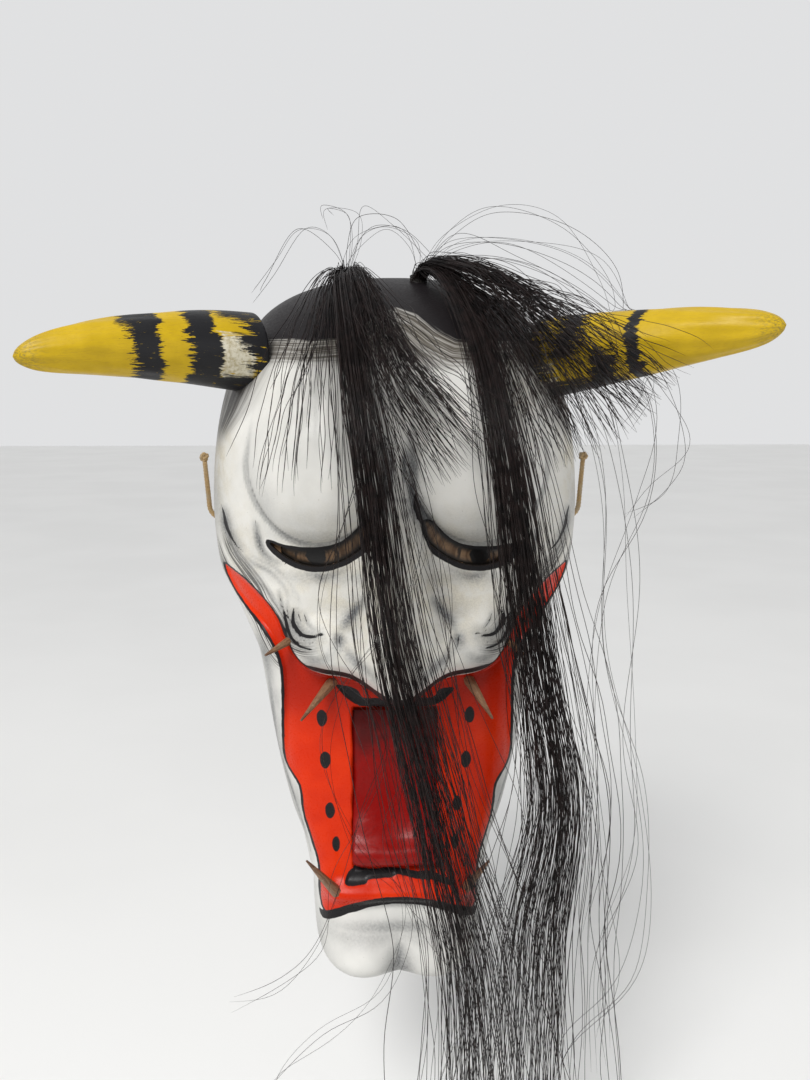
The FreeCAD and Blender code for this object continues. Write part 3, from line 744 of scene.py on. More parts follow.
def skin_material():
    paint = Paint("gofun_paint")
    place = paint.place()
    mouth, black, grey, cream, scalp, wash, temple = (
        paint.field(name) for name in ("mouth", "black", "grey", "cream", "scalp", "wash", "temple"))
    fine, broad = paint.noise(place, 1.1, 4.0), paint.noise(place, 22.0)
    specks = paint.noise(place, 0.55, 2.0, 0.6)

    white = paint.mix(paint.fade(broad, 0.3, 0.7), (0.75, 0.74, 0.705), (0.67, 0.665, 0.635))
    aged = paint.mix(paint.fade(specks, 0.35, 0.68), (0.66, 0.61, 0.48), (0.50, 0.45, 0.35))
    creamy = paint.times(cream, paint.fade(paint.noise(place, 7.0, 4.0), 0.35, 0.65, 0.25, 0.85))
    flecks = paint.fade(paint.noise(place, 0.9, 1.0), 0.74, 0.80, 0.0, 0.55)
    # The grey of the spots and strokes (partly painted shade) and the painted shade in the creases ('hollow')
    # darken the white
    shade = paint.plus(grey, paint.times(paint.field("hollow"), 0.42))
    shade = paint.times(shade, paint.fade(fine, 0.2, 0.8, 0.75, 1.25))

    # strokes of thinned ink that follow the hairline, fan over the temples and sweep round the cheeks
    axes = paint.node("SeparateXYZ", {0: place})
    x, z = axes.outputs[0], axes.outputs[2]
    lines = paint.noise(paint.vector(scalp, paint.times(x, 0.03)), 0.9, 3.0, 0.7)
    stripes = paint.times(wash, paint.fade(lines, 0.36, 0.58, 0.50, 1.0))
    fan = paint.vector(paint.times(paint.field("fan"), 24.0), paint.times(z, 0.02))
    fan = paint.times(temple, paint.fade(paint.noise(fan, 0.9, 3.0, 0.7), 0.36, 0.60, 0.55, 1.0))
    sweep = paint.noise(paint.vector(paint.field("sweep"), paint.times(z, 0.02)), 0.8, 3.0, 0.75)
    sweep = paint.times(paint.field("sweep_strength"), paint.fade(sweep, 0.42, 0.58))
    ragged = paint.fade(paint.plus(scalp, paint.fade(lines, 0.3, 0.7, -1.5, 1.5)), -0.8, 1.2)

    # Painted shade: the red is darker in the upper part of the mouth, under the upper lip
    middle = paint.times(paint.fade(z, -96, -70), paint.fade(z, -30, -60))
    red = paint.coats((0.70, 0.034, 0.003), (paint.fade(broad, 0.3, 0.7), (0.60, 0.022, 0.002)),
                      (middle, (0.42, 0.014, 0.002)),
                      (paint.fade(fine, 0.62, 0.8, 0.0, 0.35), (0.40, 0.014, 0.003)))
    wavy = paint.plus(black, paint.fade(paint.noise(place, 5.0, 2.0), 0.25, 0.75, -0.15, 0.15))
    body = paint.coats(white, (creamy, aged), (flecks, (0.30, 0.27, 0.23)), (shade, (0.12, 0.125, 0.13)),
                       (stripes, (0.070, 0.058, 0.043)), (fan, (0.05, 0.043, 0.037)),
                       (sweep, (0.05, 0.048, 0.046)), (ragged, (0.012, 0.010, 0.011)),
                       (paint.fade(mouth, -0.12, 0.12), red),
                       (paint.fade(wavy, -0.12, 0.18), (0.016, 0.015, 0.016)))

    glossy = paint.times(paint.fade(mouth, -0.2, 0.2), 0.16)
    rough = paint.math("SUBTRACT", paint.fade(fine, 0.3, 0.7, 0.40, 0.54), glossy)
    relief = paint.relief((paint.noise(place, 16.0), 0.9, 0.5), (fine, 0.06, 0.6),
                          (paint.times(lines, wash), 0.10, 0.6))
    shine = paint.coats(paint.fade(mouth, -0.2, 0.2, 0.38, 0.13),
                        (paint.fade(wavy, -0.1, 0.1), (0.12, 0.12, 0.12)), (ragged, (0.15, 0.15, 0.15)))
    return paint.finish(body, rough, relief, Specular_IOR_Level=shine, Coat_Weight=0.03, Coat_Roughness=0.25)


def outer_points(x, z):
    """Points of the painted front, never behind the rim's plane."""
    return np.stack([x, -np.maximum(depth(x, z), 0), z], 1)


SKIN_ACROSS, SKIN_UP = 212, 424  # faces of the grids
BACK_ACROSS, BACK_UP = 96, 168
SHEET_SIZE = 34.0  # of the pasted paper


def make_skin(material):
    x, z = folded_grid(SKIN_ACROSS, SKIN_UP)
    flat = np.stack([x.ravel(), z.ravel()], 1)
    points, kept, cut = clip_holes(flat, grid_faces(*x.shape), nearest_inside(*flat.T, EYES))
    used = np.unique(np.concatenate([np.array(f) for f in kept]))
    renumber = np.full(len(points), -1)
    renumber[used] = np.arange(len(used))
    xs, zs = points[used].T
    skin = new_piece("face_skin", outer_points(xs, zs), [renumber[f] for f in kept], material, "gofun_paint",
                     ["face_shell"])
    paint_fields(skin, xs, zs)
    return points, cut, kept


def inner_depth(x, z):
    """Depth of the inside of the wall straight behind the outer face."""
    step = 0.5
    slope_x = (depth(x + step, z, False) - depth(x - step, z, False)) / (2 * step)
    slope_z = (depth(x, z + step, False) - depth(x, z - step, False)) / (2 * step)
    return depth(x, z, False) - WALL * np.sqrt(1 + np.minimum(slope_x ** 2 + slope_z ** 2, 9.0))


def make_eye_edges(points, cut, kept):
    """Blackened walls of the eye openings, through the thickness of the shell."""
    edges = boundary(kept, cut)
    ring = sorted({i for edge in edges for i in edge})
    place = {p: k for k, p in enumerate(ring)}
    xs, zs = points[ring].T
    verts = np.concatenate([np.stack([xs, -depth(xs, zs), zs], 1), np.stack([xs, -inner_depth(xs, zs), zs], 1)])
    n = len(ring)
    walls = [[place[b], place[a], place[a] + n, place[b] + n] for a, b in edges]
    new_piece("eye_edges", verts, walls, ink_material(), "gofun_paint", smooth=False)


def ink_material():
    paint = Paint("black_ink")
    grain = paint.noise(paint.place(), 1.0, 4.0)
    tone = paint.mix(paint.fade(grain, 0.35, 0.75), (0.010, 0.009, 0.009), (0.035, 0.022, 0.016))
    return paint.finish(tone, 0.5, paint.relief((grain, 0.15, 1.0)))


def paper_material():
    """Tanned paper in torn, overlapping sheets."""
    paint = Paint("pasted_paper")
    place = paint.place()
    warp = paint.node("TexNoise", {"Vector": place, "Scale": 0.12, "Detail": 5.0}).outputs["Color"]
    warp = paint.node("Mapping", {"Vector": warp, "Scale": (14, 14, 14)}).outputs[0]
    warp = paint.node("VectorMath", {0: place, 1: warp}, operation="ADD").outputs[0]
    cells = {"Vector": warp, "Scale": 1 / SHEET_SIZE}
    sheet = paint.node("TexVoronoi", cells).outputs["Color"]
    edge = paint.node("TexVoronoi", cells, feature="DISTANCE_TO_EDGE").outputs["Distance"]
    fibres = paint.noise(paint.place((1.2, 1.2, 0.25)), 0.8, 5.0, 0.7)
    hue = paint.node("SeparateXYZ", {0: sheet}).outputs[0]
    tone = paint.coats((0.17, 0.088, 0.040), (hue, (0.27, 0.155, 0.078)),
                       (paint.fade(fibres, 0.35, 0.75, 0.0, 0.6), (0.36, 0.23, 0.13)),
                       (paint.fade(edge, 0.0, 0.03, 0.5, 0.0), (0.09, 0.045, 0.02)))
    relief = paint.relief((paint.fade(edge, 0.0, 0.02), 0.25, 1.0), (fibres, 0.15, 0.7))
    return paint.finish(tone, 0.62, relief)


def make_back():
    """The inside of the wall and the flat rim."""
    x, z = folded_grid(BACK_ACROSS, BACK_UP)
    outer = outer_points(x.ravel(), z.ravel())
    plain = np.stack([x, -np.maximum(depth(x, z, False), 0), z], 2)
    normal = unit(np.cross(np.gradient(plain, axis=1), np.gradient(plain, axis=0)))
    normal *= np.where(normal[..., 1:2] > 0, -1, 1)
    edge = np.ones(x.shape, bool)
    edge[1:-1, 1:-1] = False
    outward = unit(np.stack([x, np.zeros(x.shape), z - MID_Z], 2))
    inner = plain - WALL * np.where(edge[..., None], outward, normal)
    inner[..., 1] = np.minimum(inner[..., 1], 0)
    index = np.arange(x.size).reshape(x.shape)
    loop = np.concatenate([index[:, 0], index[-1, 1:], index[::-1, -1][1:], index[0, ::-1][1:-1]])
    n = len(loop)
    faces = grid_faces(*x.shape, flip=True).tolist()
    for k in range(n):
        after = (k + 1) % n
        faces.append([int(loop[k]), int(loop[after]), x.size + after, x.size + k])
    signed = np.append(nearest_inside(x.ravel(), z.ravel(), EYES), np.full(n, -99.0))
    faces = [f for f in faces if signed[f].max() < 0.4]
    verts = np.concatenate([inner.reshape(-1, 3), outer[loop]])
    new_piece("face_back", verts, faces, paper_material(), "gofun_paint")


# ---- horns ----
# Root and tip of the axis, and the rise of its middle
HORN_LEFT = (-66, -40, 86.5), (-159.5, -102, 82.5), 4.0
HORN_RIGHT = (70, -38, 84), (161.5, -106, 95.5), 1.0
# Radius over the share of the length
HORN_RADII = [(0.04, 19.2), (0.2, 18.0), (0.42, 15.4), (0.64, 12.6), (0.8, 10.0), (0.9, 7.6), (0.96, 5.0),
    (0.99, 2.4), (1.0, 0.3)]
HORN_START = 0.04  # share at the flat base
HORN_SIDES, HORN_RINGS = 96, 150


def horn_line(horn, share):
    """Points of the bowed axis at shares of its length."""
    base, tip, rise = np.array(horn[0], float), np.array(horn[1], float), horn[2]
    share = np.asarray(share, float)
    line = base + share[..., None] * (tip - base)
    line[..., 2] += 4 * rise * share * (1 - share)
    return line


def horn_root(horn, u, v, angle):
    """Share of the length at which the horn's skin comes out of the face, for one direction round it."""
    low, high = -0.14, 0.45
    for _ in range(26):
        middle = (low + high) / 2
        p = horn_line(horn, middle) + table(HORN_RADII, middle) * (math.cos(angle) * u + math.sin(angle) * v)
        buried = -p[1] < float(depth(p[0], p[2], False)) and abs(p[0]) < half_width(p[2]) and p[2] < TOP_Z
        low, high = (middle, high) if buried else (low, middle)
    return low - 0.006


def make_horn(name, horn, material):
    """A knife-finished horn whose first ring follows the face; v points up and u across the axis."""
    line = unit(np.array(horn[1], float) - horn[0])
    v = unit(np.array([0, 0, 1.0]) - line * line[2])
    u = np.cross(v, line)
    angles = circle(HORN_SIDES)
    roots = np.array([max(horn_root(horn, u, v, a), HORN_START) for a in angles])
    s = 1 - (1 - np.linspace(0, 1, HORN_RINGS)) ** 1.35
    share = roots + (1 - roots) * s[:, None]
    knife = 0.22 * np.sin(5 * angles + 9 * share) + 0.16 * np.sin(11 * angles - 17 * share + 1.3)
    radius = table(HORN_RADII, share) + knife * ramp(0.3, 0.5, share) * ramp(1.0, 0.93, share)
    ring = horn_line(horn, share) + radius[..., None] * spokes(angles, u, v)
    faces = ring_faces(HORN_RINGS, HORN_SIDES) + end_caps(HORN_RINGS, HORN_SIDES)[1:]
    centre = HORN_RINGS * HORN_SIDES
    faces += [[centre, (j + 1) % HORN_SIDES, j] for j in range(HORN_SIDES)]
    verts = np.vstack([ring.reshape(-1, 3), horn_line(horn, HORN_START)])
    piece = new_piece("horn_%s_painted" % name, verts, faces, material, "horn_paint", ["horn_" + name])
    store(piece, along=np.append(share, HORN_START), round_u=np.append(radius * np.cos(angles), 0),
          round_v=np.append(radius * np.sin(angles), 0))


def horn_material(name, bands, patch, seed):
    """Yellow with brushed black bands and a patch of bare ground by the root. A band is (start, end, ragged
    start, ragged end) in shares of the length, then its lowest and highest v. The patch is (start, end,
    highest v)."""
    paint = Paint("horn_paint_" + name)
    along, u, v = (paint.field(field) for field in ("along", "round_u", "round_v"))
    place, shift = paint.place(), paint.plus(u, seed)

    def drawn(length):
        """Place on the horn's skin, with marks drawn out along it where length is small."""
        return paint.vector(shift, v, paint.times(along, length))

    hairs, grain = paint.noise(drawn(5.0), 0.8, 3.0, 0.8), paint.noise(drawn(2.5), 0.5, 3.0, 0.7)
    brush = paint.fade(paint.noise(drawn(9.0), 2.6, 4.0, 0.75), 0.25, 0.75, -1.0, 1.0)
    ragged = paint.plus(brush, paint.fade(hairs, 0.3, 0.7, -0.5, 0.5))

    def torn(value, size):
        return paint.plus(value, paint.times(ragged, size))

    start, end, top = patch
    share = torn(along, 0.02)
    bare = paint.times(paint.fade(share, start, start + 0.012), paint.fade(share, end + 0.012, end),
                       paint.fade(torn(v, 3.0), top, top - 3.0),
                       paint.fade(paint.noise(drawn(22.0), 5.5, 3.0, 0.6), 0.43, 0.47))
    cracks = paint.fade(paint.noise(place, 1.6, 4.0), 0.35, 0.7)
    ground = paint.mix(cracks, (0.66, 0.62, 0.50), (0.42, 0.36, 0.22))

    black = 0.0
    lean = paint.plus(along, paint.fade(paint.noise(drawn(14.0), 11.0, 2.0), 0.2, 0.8, -0.02, 0.02))
    height = torn(v, 2.5)
    for start, end, rag_start, rag_end, low, high in bands:
        band = paint.times(paint.fade(torn(lean, rag_start), start - 0.004, start + 0.004),
                           paint.fade(torn(lean, rag_end), end + 0.004, end - 0.004),
                           paint.fade(height, low - 1.5, low + 1.5), paint.fade(height, high + 1.5, high - 1.5))
        black = paint.math("MAXIMUM", black, band)
    black = paint.times(black, paint.fade(hairs, 0.66, 0.72, 1.0, 0.0))

    scuffs = paint.times(paint.fade(hairs, 0.42, 0.68), paint.fade(along, 0.86, 0.99))
    chips = paint.times(paint.fade(paint.noise(place, 2.4, 4.0, 0.7), 0.71, 0.74), 0.6)
    body = paint.coats((0.58, 0.385, 0.008),
                       (paint.fade(paint.noise(place, 13.0), 0.3, 0.7), (0.50, 0.33, 0.006)),
                       (paint.fade(grain, 0.5, 0.72, 0.0, 0.45), (0.40, 0.24, 0.02)),
                       (scuffs, (0.20, 0.15, 0.035)), (chips, (0.30, 0.20, 0.04)), (bare, ground),
                       (black, (0.012, 0.012, 0.014)))
    relief = paint.relief((paint.noise(place, 9.0), 0.8, 0.5), (grain, 0.10, 0.7))
    return paint.finish(body, paint.fade(grain, 0.3, 0.75, 0.38, 0.55), relief,
                        Specular_IOR_Level=0.22, Coat_Weight=0.05, Coat_Roughness=0.25)


HORNS = {  # line, black bands, bare patch, seed of the brush marks
    "left": (HORN_LEFT, [
        (-0.3, 0.125, 0.0, 0.085, -40.0, 40.0), (0.09, 0.26, 0.02, 0.03, -40.0, -12.5),
        (0.09, 0.19, 0.0, 0.06, 1.5, 8.0), (0.11, 0.24, 0.04, 0.05, 14.0, 40.0),
        (0.255, 0.375, 0.015, 0.025, -40.0, 40.0), (0.475, 0.585, 0.02, 0.04, -40.0, 40.0),
        (0.57, 0.63, 0.02, 0.03, 9.0, 40.0)], (0.10, 0.235, 9.0), 0.0),
    "right": (HORN_RIGHT, [
        (-0.3, 0.09, 0.0, 0.06, -40.0, 40.0), (0.08, 0.34, 0.02, 0.03, -40.0, -13.0),
        (0.15, 0.26, 0.04, 0.05, -3.0, 40.0), (0.30, 0.40, 0.03, 0.03, -40.0, -2.0),
        (0.445, 0.50, 0.012, 0.018, -40.0, 40.0)], (0.07, 0.14, -2.0), 40.0),
}


def make_horns():
    for name, (line, *paint) in HORNS.items():
        make_horn(name, line, horn_material(name, *paint))


# ---- tongue ----
# Depth and height down the middle of the tongue; the sides go back by the skirt
TONGUE_FRONT = [(74, -82), (75, -90), (74.5, -100), (75, -115), (78, -130), (84, -140.5), (89.5, -146.5),
    (90.5, -151), (87.5, -155), (81, -156)]
TONGUE_SKIRT = 9.0


def resample(points, count):
    """Points evenly spaced along a smooth curve through the given ones."""
    p = rounded(points, closed=False, steps=8)
    gone = travelled(p)
    at = gone[-1] * np.linspace(0, 1, count)
    return np.stack([np.interp(at, gone, p[:, k]) for k in range(p.shape[1])], 1)


def make_tongue():
    profile = resample(TONGUE_FRONT, 120)
    u = np.sin(np.linspace(-1, 1, 61) * np.pi / 2)
    share = np.linspace(0, 1, len(profile))[:, None]
    slope = unit(np.gradient(profile, axis=0))
    crown = -1.5 * (1 - np.sqrt(np.clip(1 - np.abs(u) ** 5, 0, 1)))
    valley = -0.9 * np.exp(-(u / 0.35) ** 2) * ramp(0.1, 0.35, share) * ramp(0.86, 0.7, share)
    ripple = 0.25 * np.sin(share * 24 + 1.5 * u) * ramp(1.0, 0.8, np.abs(u))
    lift = crown + valley + ripple
    d = profile[:, :1] - slope[:, 1:] * lift
    z = profile[:, 1:] + slope[:, :1] * lift
    x = np.broadcast_to(TONGUE_X + TONGUE_HALF_WIDTH * u, d.shape)
    side_back = np.maximum(d[:, [0, -1]] - TONGUE_SKIRT, 60)
    d = np.concatenate([side_back[:, :1], d, side_back[:, 1:]], 1)
    z, x = (np.concatenate([a[:, :1], a, a[:, -1:]], 1) for a in (z, x))
    piece = new_piece("tongue_lacquered", np.stack([x, -d, z], 2).reshape(-1, 3), grid_faces(*x.shape),
                      tongue_material(), "red_lacquer", ["tongue"])
    store(piece, drop=-80 - z)


def tongue_material():
    paint = Paint("tongue_lacquer")
    place = paint.place()
    # Painted shade: the red is darkest at the top, under the upper lip, and lighter down to the rolled tip
    level = paint.plus(paint.field("drop"), paint.fade(paint.noise(place, 11.0), 0.3, 0.7, -7.0, 7.0))
    body = paint.coats((0.055, 0.004, 0.004), (paint.fade(level, 0.0, 34.0), (0.23, 0.003, 0.002)),
                       (paint.fade(level, 56.0, 72.0), (0.27, 0.010, 0.008)),
                       (paint.fade(paint.noise(place, 1.2, 4.0), 0.5, 0.8, 0.0, 0.5), (0.11, 0.006, 0.005)))
    rough = paint.fade(paint.noise(place, 3.0), 0.3, 0.7, 0.26, 0.38)
    return paint.finish(body, rough, paint.relief((paint.noise(place, 7.0), 0.7, 0.6)), Specular_IOR_Level=0.12,
                        Coat_Weight=0.06, Coat_Roughness=0.12)


# ---- eyes and fangs ----
EYE_GAP, EYE_THICKNESS = 1.2, 2.0


def make_eyes():
    """Bowed plates behind the openings; the fields of their black backs say that they are outside the lids."""
    material = eye_material()
    across, up = np.meshgrid(np.linspace(9, 61.5, 90), np.linspace(-17, 10.5, 60), indexing="ij")
    swell = 1.6 * np.exp(-((across - PUPIL_X) / 15) ** 2 - ((up - PUPIL_Z) / 9) ** 2)
    front = plain_depth(across, up) - WALL - EYE_GAP + 0.8 * swell
    count = across.size
    index = np.arange(count).reshape(across.shape)
    loop = np.concatenate([index[:-1, 0], index[-1, :-1], index[:0:-1, -1], index[0, :0:-1]])
    for name, side in (("left", -1), ("right", 1)):
        verts = np.concatenate([np.stack([side * across, y, up], 2).reshape(-1, 3)
                                for y in (-front, EYE_THICKNESS - front)])
        faces = grid_faces(*across.shape, flip=side < 0).tolist()
        faces += (grid_faces(*across.shape, flip=side > 0) + count).tolist()
        faces += [[a, b, b + count, a + count][::-side] for a, b in zip(loop, np.roll(loop, -1))]
        piece = new_piece("eye_%s_painted" % name, verts, faces, material, "eye_brown", ["eye_plate_" + name])
        store(piece, pupil=np.tile(np.hypot((across - PUPIL_X) / 1.15, up - PUPIL_Z).ravel(), 2),
              lid=np.append(inside(across, up, EYES[0]), np.full(count, -9.0)),
              across=np.tile((across - PUPIL_X).ravel(), 2))


def eye_material():
    paint = Paint("eye_paint")
    place = paint.place()
    pupil, lid, across = (paint.field(name) for name in ("pupil", "lid", "across"))
    streak = paint.noise(paint.vector(pupil, paint.times(across, 0.1)), 2.2)
    edge = paint.plus(pupil, paint.fade(paint.noise(place, 2.0), 0.3, 0.7, -0.4, 0.4))
    ring = paint.times(paint.fade(edge, 9.6, 8.6), paint.fade(edge, 7.4, 8.2))
    body = paint.coats((0.11, 0.058, 0.026), (paint.fade(streak, 0.35, 0.65), (0.24, 0.14, 0.070)),
                       (paint.fade(paint.noise(place, 1.0, 4.0), 0.5, 0.75, 0.0, 0.6), (0.08, 0.04, 0.018)),
                       (paint.fade(lid, 3.2, 0.4), (0.010, 0.008, 0.006)), (ring, (0.03, 0.018, 0.010)),
                       (paint.fade(edge, PUPIL_R + 0.9, PUPIL_R + 0.1), (0.006, 0.005, 0.005)))
    return paint.finish(body, 0.3, paint.relief((paint.noise(place, 2.0), 0.15, 1.0)), Specular_IOR_Level=0.25,
                        Coat_Weight=0.25, Coat_Roughness=0.12)


FANG_R, FANG_TIP_R, FANG_SHANK = 2.6, 0.5, 6.0
FANG_SIDES, FANG_FACETS = 36, 6
CORNER_FANG_R = 1.9
FANGS = {  # root x and z, tip, radius at the root
    "fang_upper_left": (-31.5, -66.5, (-44, -100, -77), FANG_R),
    "fang_upper_right": (33.5, -66, (42, -100, -77), FANG_R),
    "fang_lower_left": (-30.5, -167, (-42.5, -102, -143.5), FANG_R),
    "fang_lower_right": (33, -167, (41, -102, -145), FANG_R),
    "fang_corner_left": (-51, -45.5, (-60, -94, -48.5), CORNER_FANG_R),
    "fang_corner_right": (52, -47.5, (57, -94, -49.5), CORNER_FANG_R),
}


def make_fangs():
    """Pegs whittled to a point, with a few flat knife facets each."""
    material = fang_material()
    angles, facet = circle(FANG_SIDES), 2 * np.pi / FANG_FACETS
    share = np.concatenate([[0, 0.02], np.linspace(0.04, 1, 40)])
    for number, (name, (x, z, tip, radius)) in enumerate(FANGS.items()):
        base = np.array([x, -float(depth(np.array(x, float), np.array(z, float), False)), z])
        start = base - unit(tip - base) * FANG_SHANK
        line = start + share[:, None] * (tip - start)
        shank = FANG_SHANK / np.linalg.norm(tip - start)
        taper = np.clip((share - shank) / (1 - shank), 0, 1)
        size = radius + (FANG_TIP_R - radius) * taper ** 1.1
        corner = (angles + number * 0.7 + 0.25 * np.sin(4 * share)[:, None]) % facet - facet / 2
        flat = 1 / np.cos(corner * 0.8) * math.cos(facet / 2 * 0.8)
        r = size[:, None] * (0.94 + 0.12 * (flat - flat.min()) / (flat.max() - flat.min()))
        _, u, v = frames_along(line)
        ring = line[:, None] + r[..., None] * spokes(angles, u, v)
        faces = ring_faces(len(line), FANG_SIDES) + end_caps(len(line), FANG_SIDES)
        piece = new_piece(name + "_whittled", ring.reshape(-1, 3), faces, material, "fang_wood", [name])
        store(piece, along=np.repeat(taper, FANG_SIDES), round_u=r * np.cos(angles), round_v=r * np.sin(angles))


def fang_material():
    paint = Paint("fang_wood")
    along, u, v = (paint.field(name) for name in ("along", "round_u", "round_v"))
    fibre = paint.noise(paint.vector(u, v, paint.times(along, 3.0)), 0.45, 4.0, 0.7)
    stain = paint.fade(paint.noise(paint.place(), 2.0), 0.55, 0.75, 0.0, 0.5)
    body = paint.coats((0.30, 0.165, 0.085), (paint.fade(fibre, 0.3, 0.7), (0.15, 0.070, 0.034)),
                       (paint.fade(along, 0.55, 1.0, 0.0, 0.6), (0.07, 0.030, 0.016)),
                       (stain, (0.38, 0.26, 0.16)))
    return paint.finish(body, 0.5, paint.relief((fibre, 0.15, 1.0)))


def wood_material():
    """Bare turned wood, for the dowels that are left as the CAD has them."""
    paint = Paint("bare_wood")
    rings = paint.noise(paint.place(), 1.4, 4.0, 0.6, 1.0)
    body = paint.mix(paint.fade(rings, 0.3, 0.7), (0.56, 0.38, 0.20), (0.38, 0.23, 0.11))
    return paint.finish(body, 0.6, paint.relief((rings, 0.1, 1.0)))


# ---- hair ----
ROOTS = {"left": (-24.0, -14.0), "right": (12.0, -14.0)}
BINDING_R, THREAD_R, BINDING_TURNS = 4.4, 0.42, 14
LEFT_MAIN = [(-24.3, -14, 124), (-25.1, -18, 129.5), (-25.4, -40, 121), (-20.2, -78, 95), (-15.5, -100, 66),
    (-10.2, -114, 36), (-6.1, -116, 6.5), (-3, -124, -17.5), (0.8, -136, -39.2), (5.6, -138, -58),
    (14, -134, -92), (22.9, -130, -130), (34.7, -126, -178), (40.3, -122, -231), (44, -120, -290),
    (45, -120, -328)]
LEFT_FRINGE = [(-22.6, -14, 124), (-21, -20, 130), (-14.7, -48, 119), (0.6, -98, 80), (17, -112, 57),
    (31.2, -118, 38)]
LEFT_STRANDS = [(-25.6, -14, 124), (-27.6, -20, 129), (-33.9, -44, 118), (-38, -92, 78), (-40.9, -116, 34),
    (-41, -118, 26)]
RIGHT_MAIN = [(12, -14, 124), (15.1, -20, 131), (26.1, -42, 121), (36.8, -78, 91), (41.2, -100, 66),
    (46.1, -114, 36), (50.9, -114, 6), (56.2, -106, -21.6), (63.8, -100, -60.6), (69.5, -96, -90),
    (74.5, -93, -120.4), (72.4, -92, -150.5), (67.4, -92, -181), (66, -92, -224), (64.5, -92, -268),
    (64, -92, -328)]
RIGHT_FRINGE = [(12.8, -14, 124), (17.4, -22, 131), (46.7, -68, 103), (63.8, -98, 68), (77.7, -100, 38)]
RIGHT_FAN = [(13, -14, 124), (17.4, -24, 132), (39.9, -52, 124), (59.5, -80, 106), (87.6, -96, 80),
    (109.2, -100, 60)]
# name: guide, strands, half width and half thickness along it, waviness, shortest share of the guide
LOCKS = {
    "hair_left_main": (LEFT_MAIN, 145,
        [(0, 3.2), (0.1, 6), (0.3, 9), (0.5, 11), (0.65, 14), (0.8, 19), (1, 26)],
        [(0, 3.2), (0.1, 3.5), (0.5, 4), (1, 11)], 4.4, 0.58),
    "hair_left_fringe": (LEFT_FRINGE, 140, [(0, 2.4), (0.2, 6), (0.6, 11), (1, 17)],
        [(0, 2.4), (1, 4)], 3.2, 0.66),
    "hair_left_strands": (LEFT_STRANDS, 40, [(0, 2.4), (0.25, 6), (0.7, 14), (1, 17)],
        [(0, 2.4), (1, 3)], 2.2, 0.62),
    "hair_right_main": (RIGHT_MAIN, 175, [(0, 3.2), (0.1, 6), (0.3, 10), (0.6, 15), (0.8, 20), (1, 27)],
        [(0, 3.2), (0.1, 3.5), (0.5, 6), (1, 14)], 5.0, 0.56),
    "hair_right_fringe": (RIGHT_FRINGE, 110, [(0, 2.4), (0.2, 6), (0.6, 12), (1, 17)],
        [(0, 2.4), (1, 5)], 3.4, 0.66),
    "hair_right_fan": (RIGHT_FAN, 150, [(0, 2.6), (0.2, 7), (0.6, 13), (1, 21)],
        [(0, 2.6), (0.5, 5), (1, 9)], 4.2, 0.6),
}
STRAND_R, FLYAWAY_R, STRAND_STEPS = 0.165, 0.11, 60
# Share of the strands that leave their clump; periods (in shares of the lock) and sizes of the waves
STRAY_SHARE, WAVES = 0.26, ((0.9, 1.0), (0.37, 0.5), (0.16, 0.2), (0.07, 0.07))
# Single hairs that wander across each main lock: strands, half width, half thickness, waviness, shortest
WILD = (34, [(0, 3), (0.15, 9), (0.4, 17), (1, 26)], [(0, 3), (1, 5)], 9.0, 0.3)


def strand_paths(guide, count, width, thickness, wander, shortest):
    """Centre lines of one lock's strands: (strand, step, xyz)."""
    line = resample(guide, 120)
    tangent = unit(np.gradient(line, axis=0))
    side = unit(np.array([1.0, 0, 0]) - tangent * tangent[:, :1])
    through = np.cross(tangent, side)
    through *= np.where(through[:, 1:2] > 0, -1, 1)
    ends = 1.0 - (1.0 - shortest) * rng.random(count) ** 2.2
    t = ends[:, None] * np.linspace(0, 1, STRAND_STEPS)[None, :]
    at = t * (len(line) - 1)

    def along(values):
        return np.stack([np.interp(at, np.arange(len(line)), values[:, k]) for k in range(3)], -1)

    clumps = max(8, count // 6)
    angle, reach = rng.random(clumps) * 2 * np.pi, np.sqrt(rng.random(clumps)) * 0.85
    own = rng.integers(0, clumps, count)
    stray = rng.random(count) < STRAY_SHARE
    turn, apart = rng.random(count) * 2 * np.pi, np.sqrt(rng.random(count)) * np.where(stray, 1.1, 0.42)
    u = ((reach * np.cos(angle))[own] + apart * np.cos(turn))[:, None] + rng.normal(0, 0.5, count)[:, None] * t
    v = ((reach * np.sin(angle))[own] + apart * np.sin(turn))[:, None] + rng.normal(0, 0.35, count)[:, None] * t
    wave = np.zeros((2, count, STRAND_STEPS))
    for period, size in WAVES:
        phase = rng.random((2, count, 1)) * 2 * np.pi
        pitch = period * (0.8 + 0.5 * rng.random((2, count, 1)))
        wave += size * rng.random((2, count, 1)) * np.sin(2 * np.pi * t[None] / pitch + phase)
    wave *= wander * ramp(0.03, 0.6, t)[None] * np.where(stray, 1.8, 1.0)[None, :, None]
    u_mm = u * table(width, t) + wave[0]
    v_mm = v * table(thickness, t) + 0.6 * wave[1]
    return along(line) + u_mm[..., None] * along(side) + v_mm[..., None] * along(through)


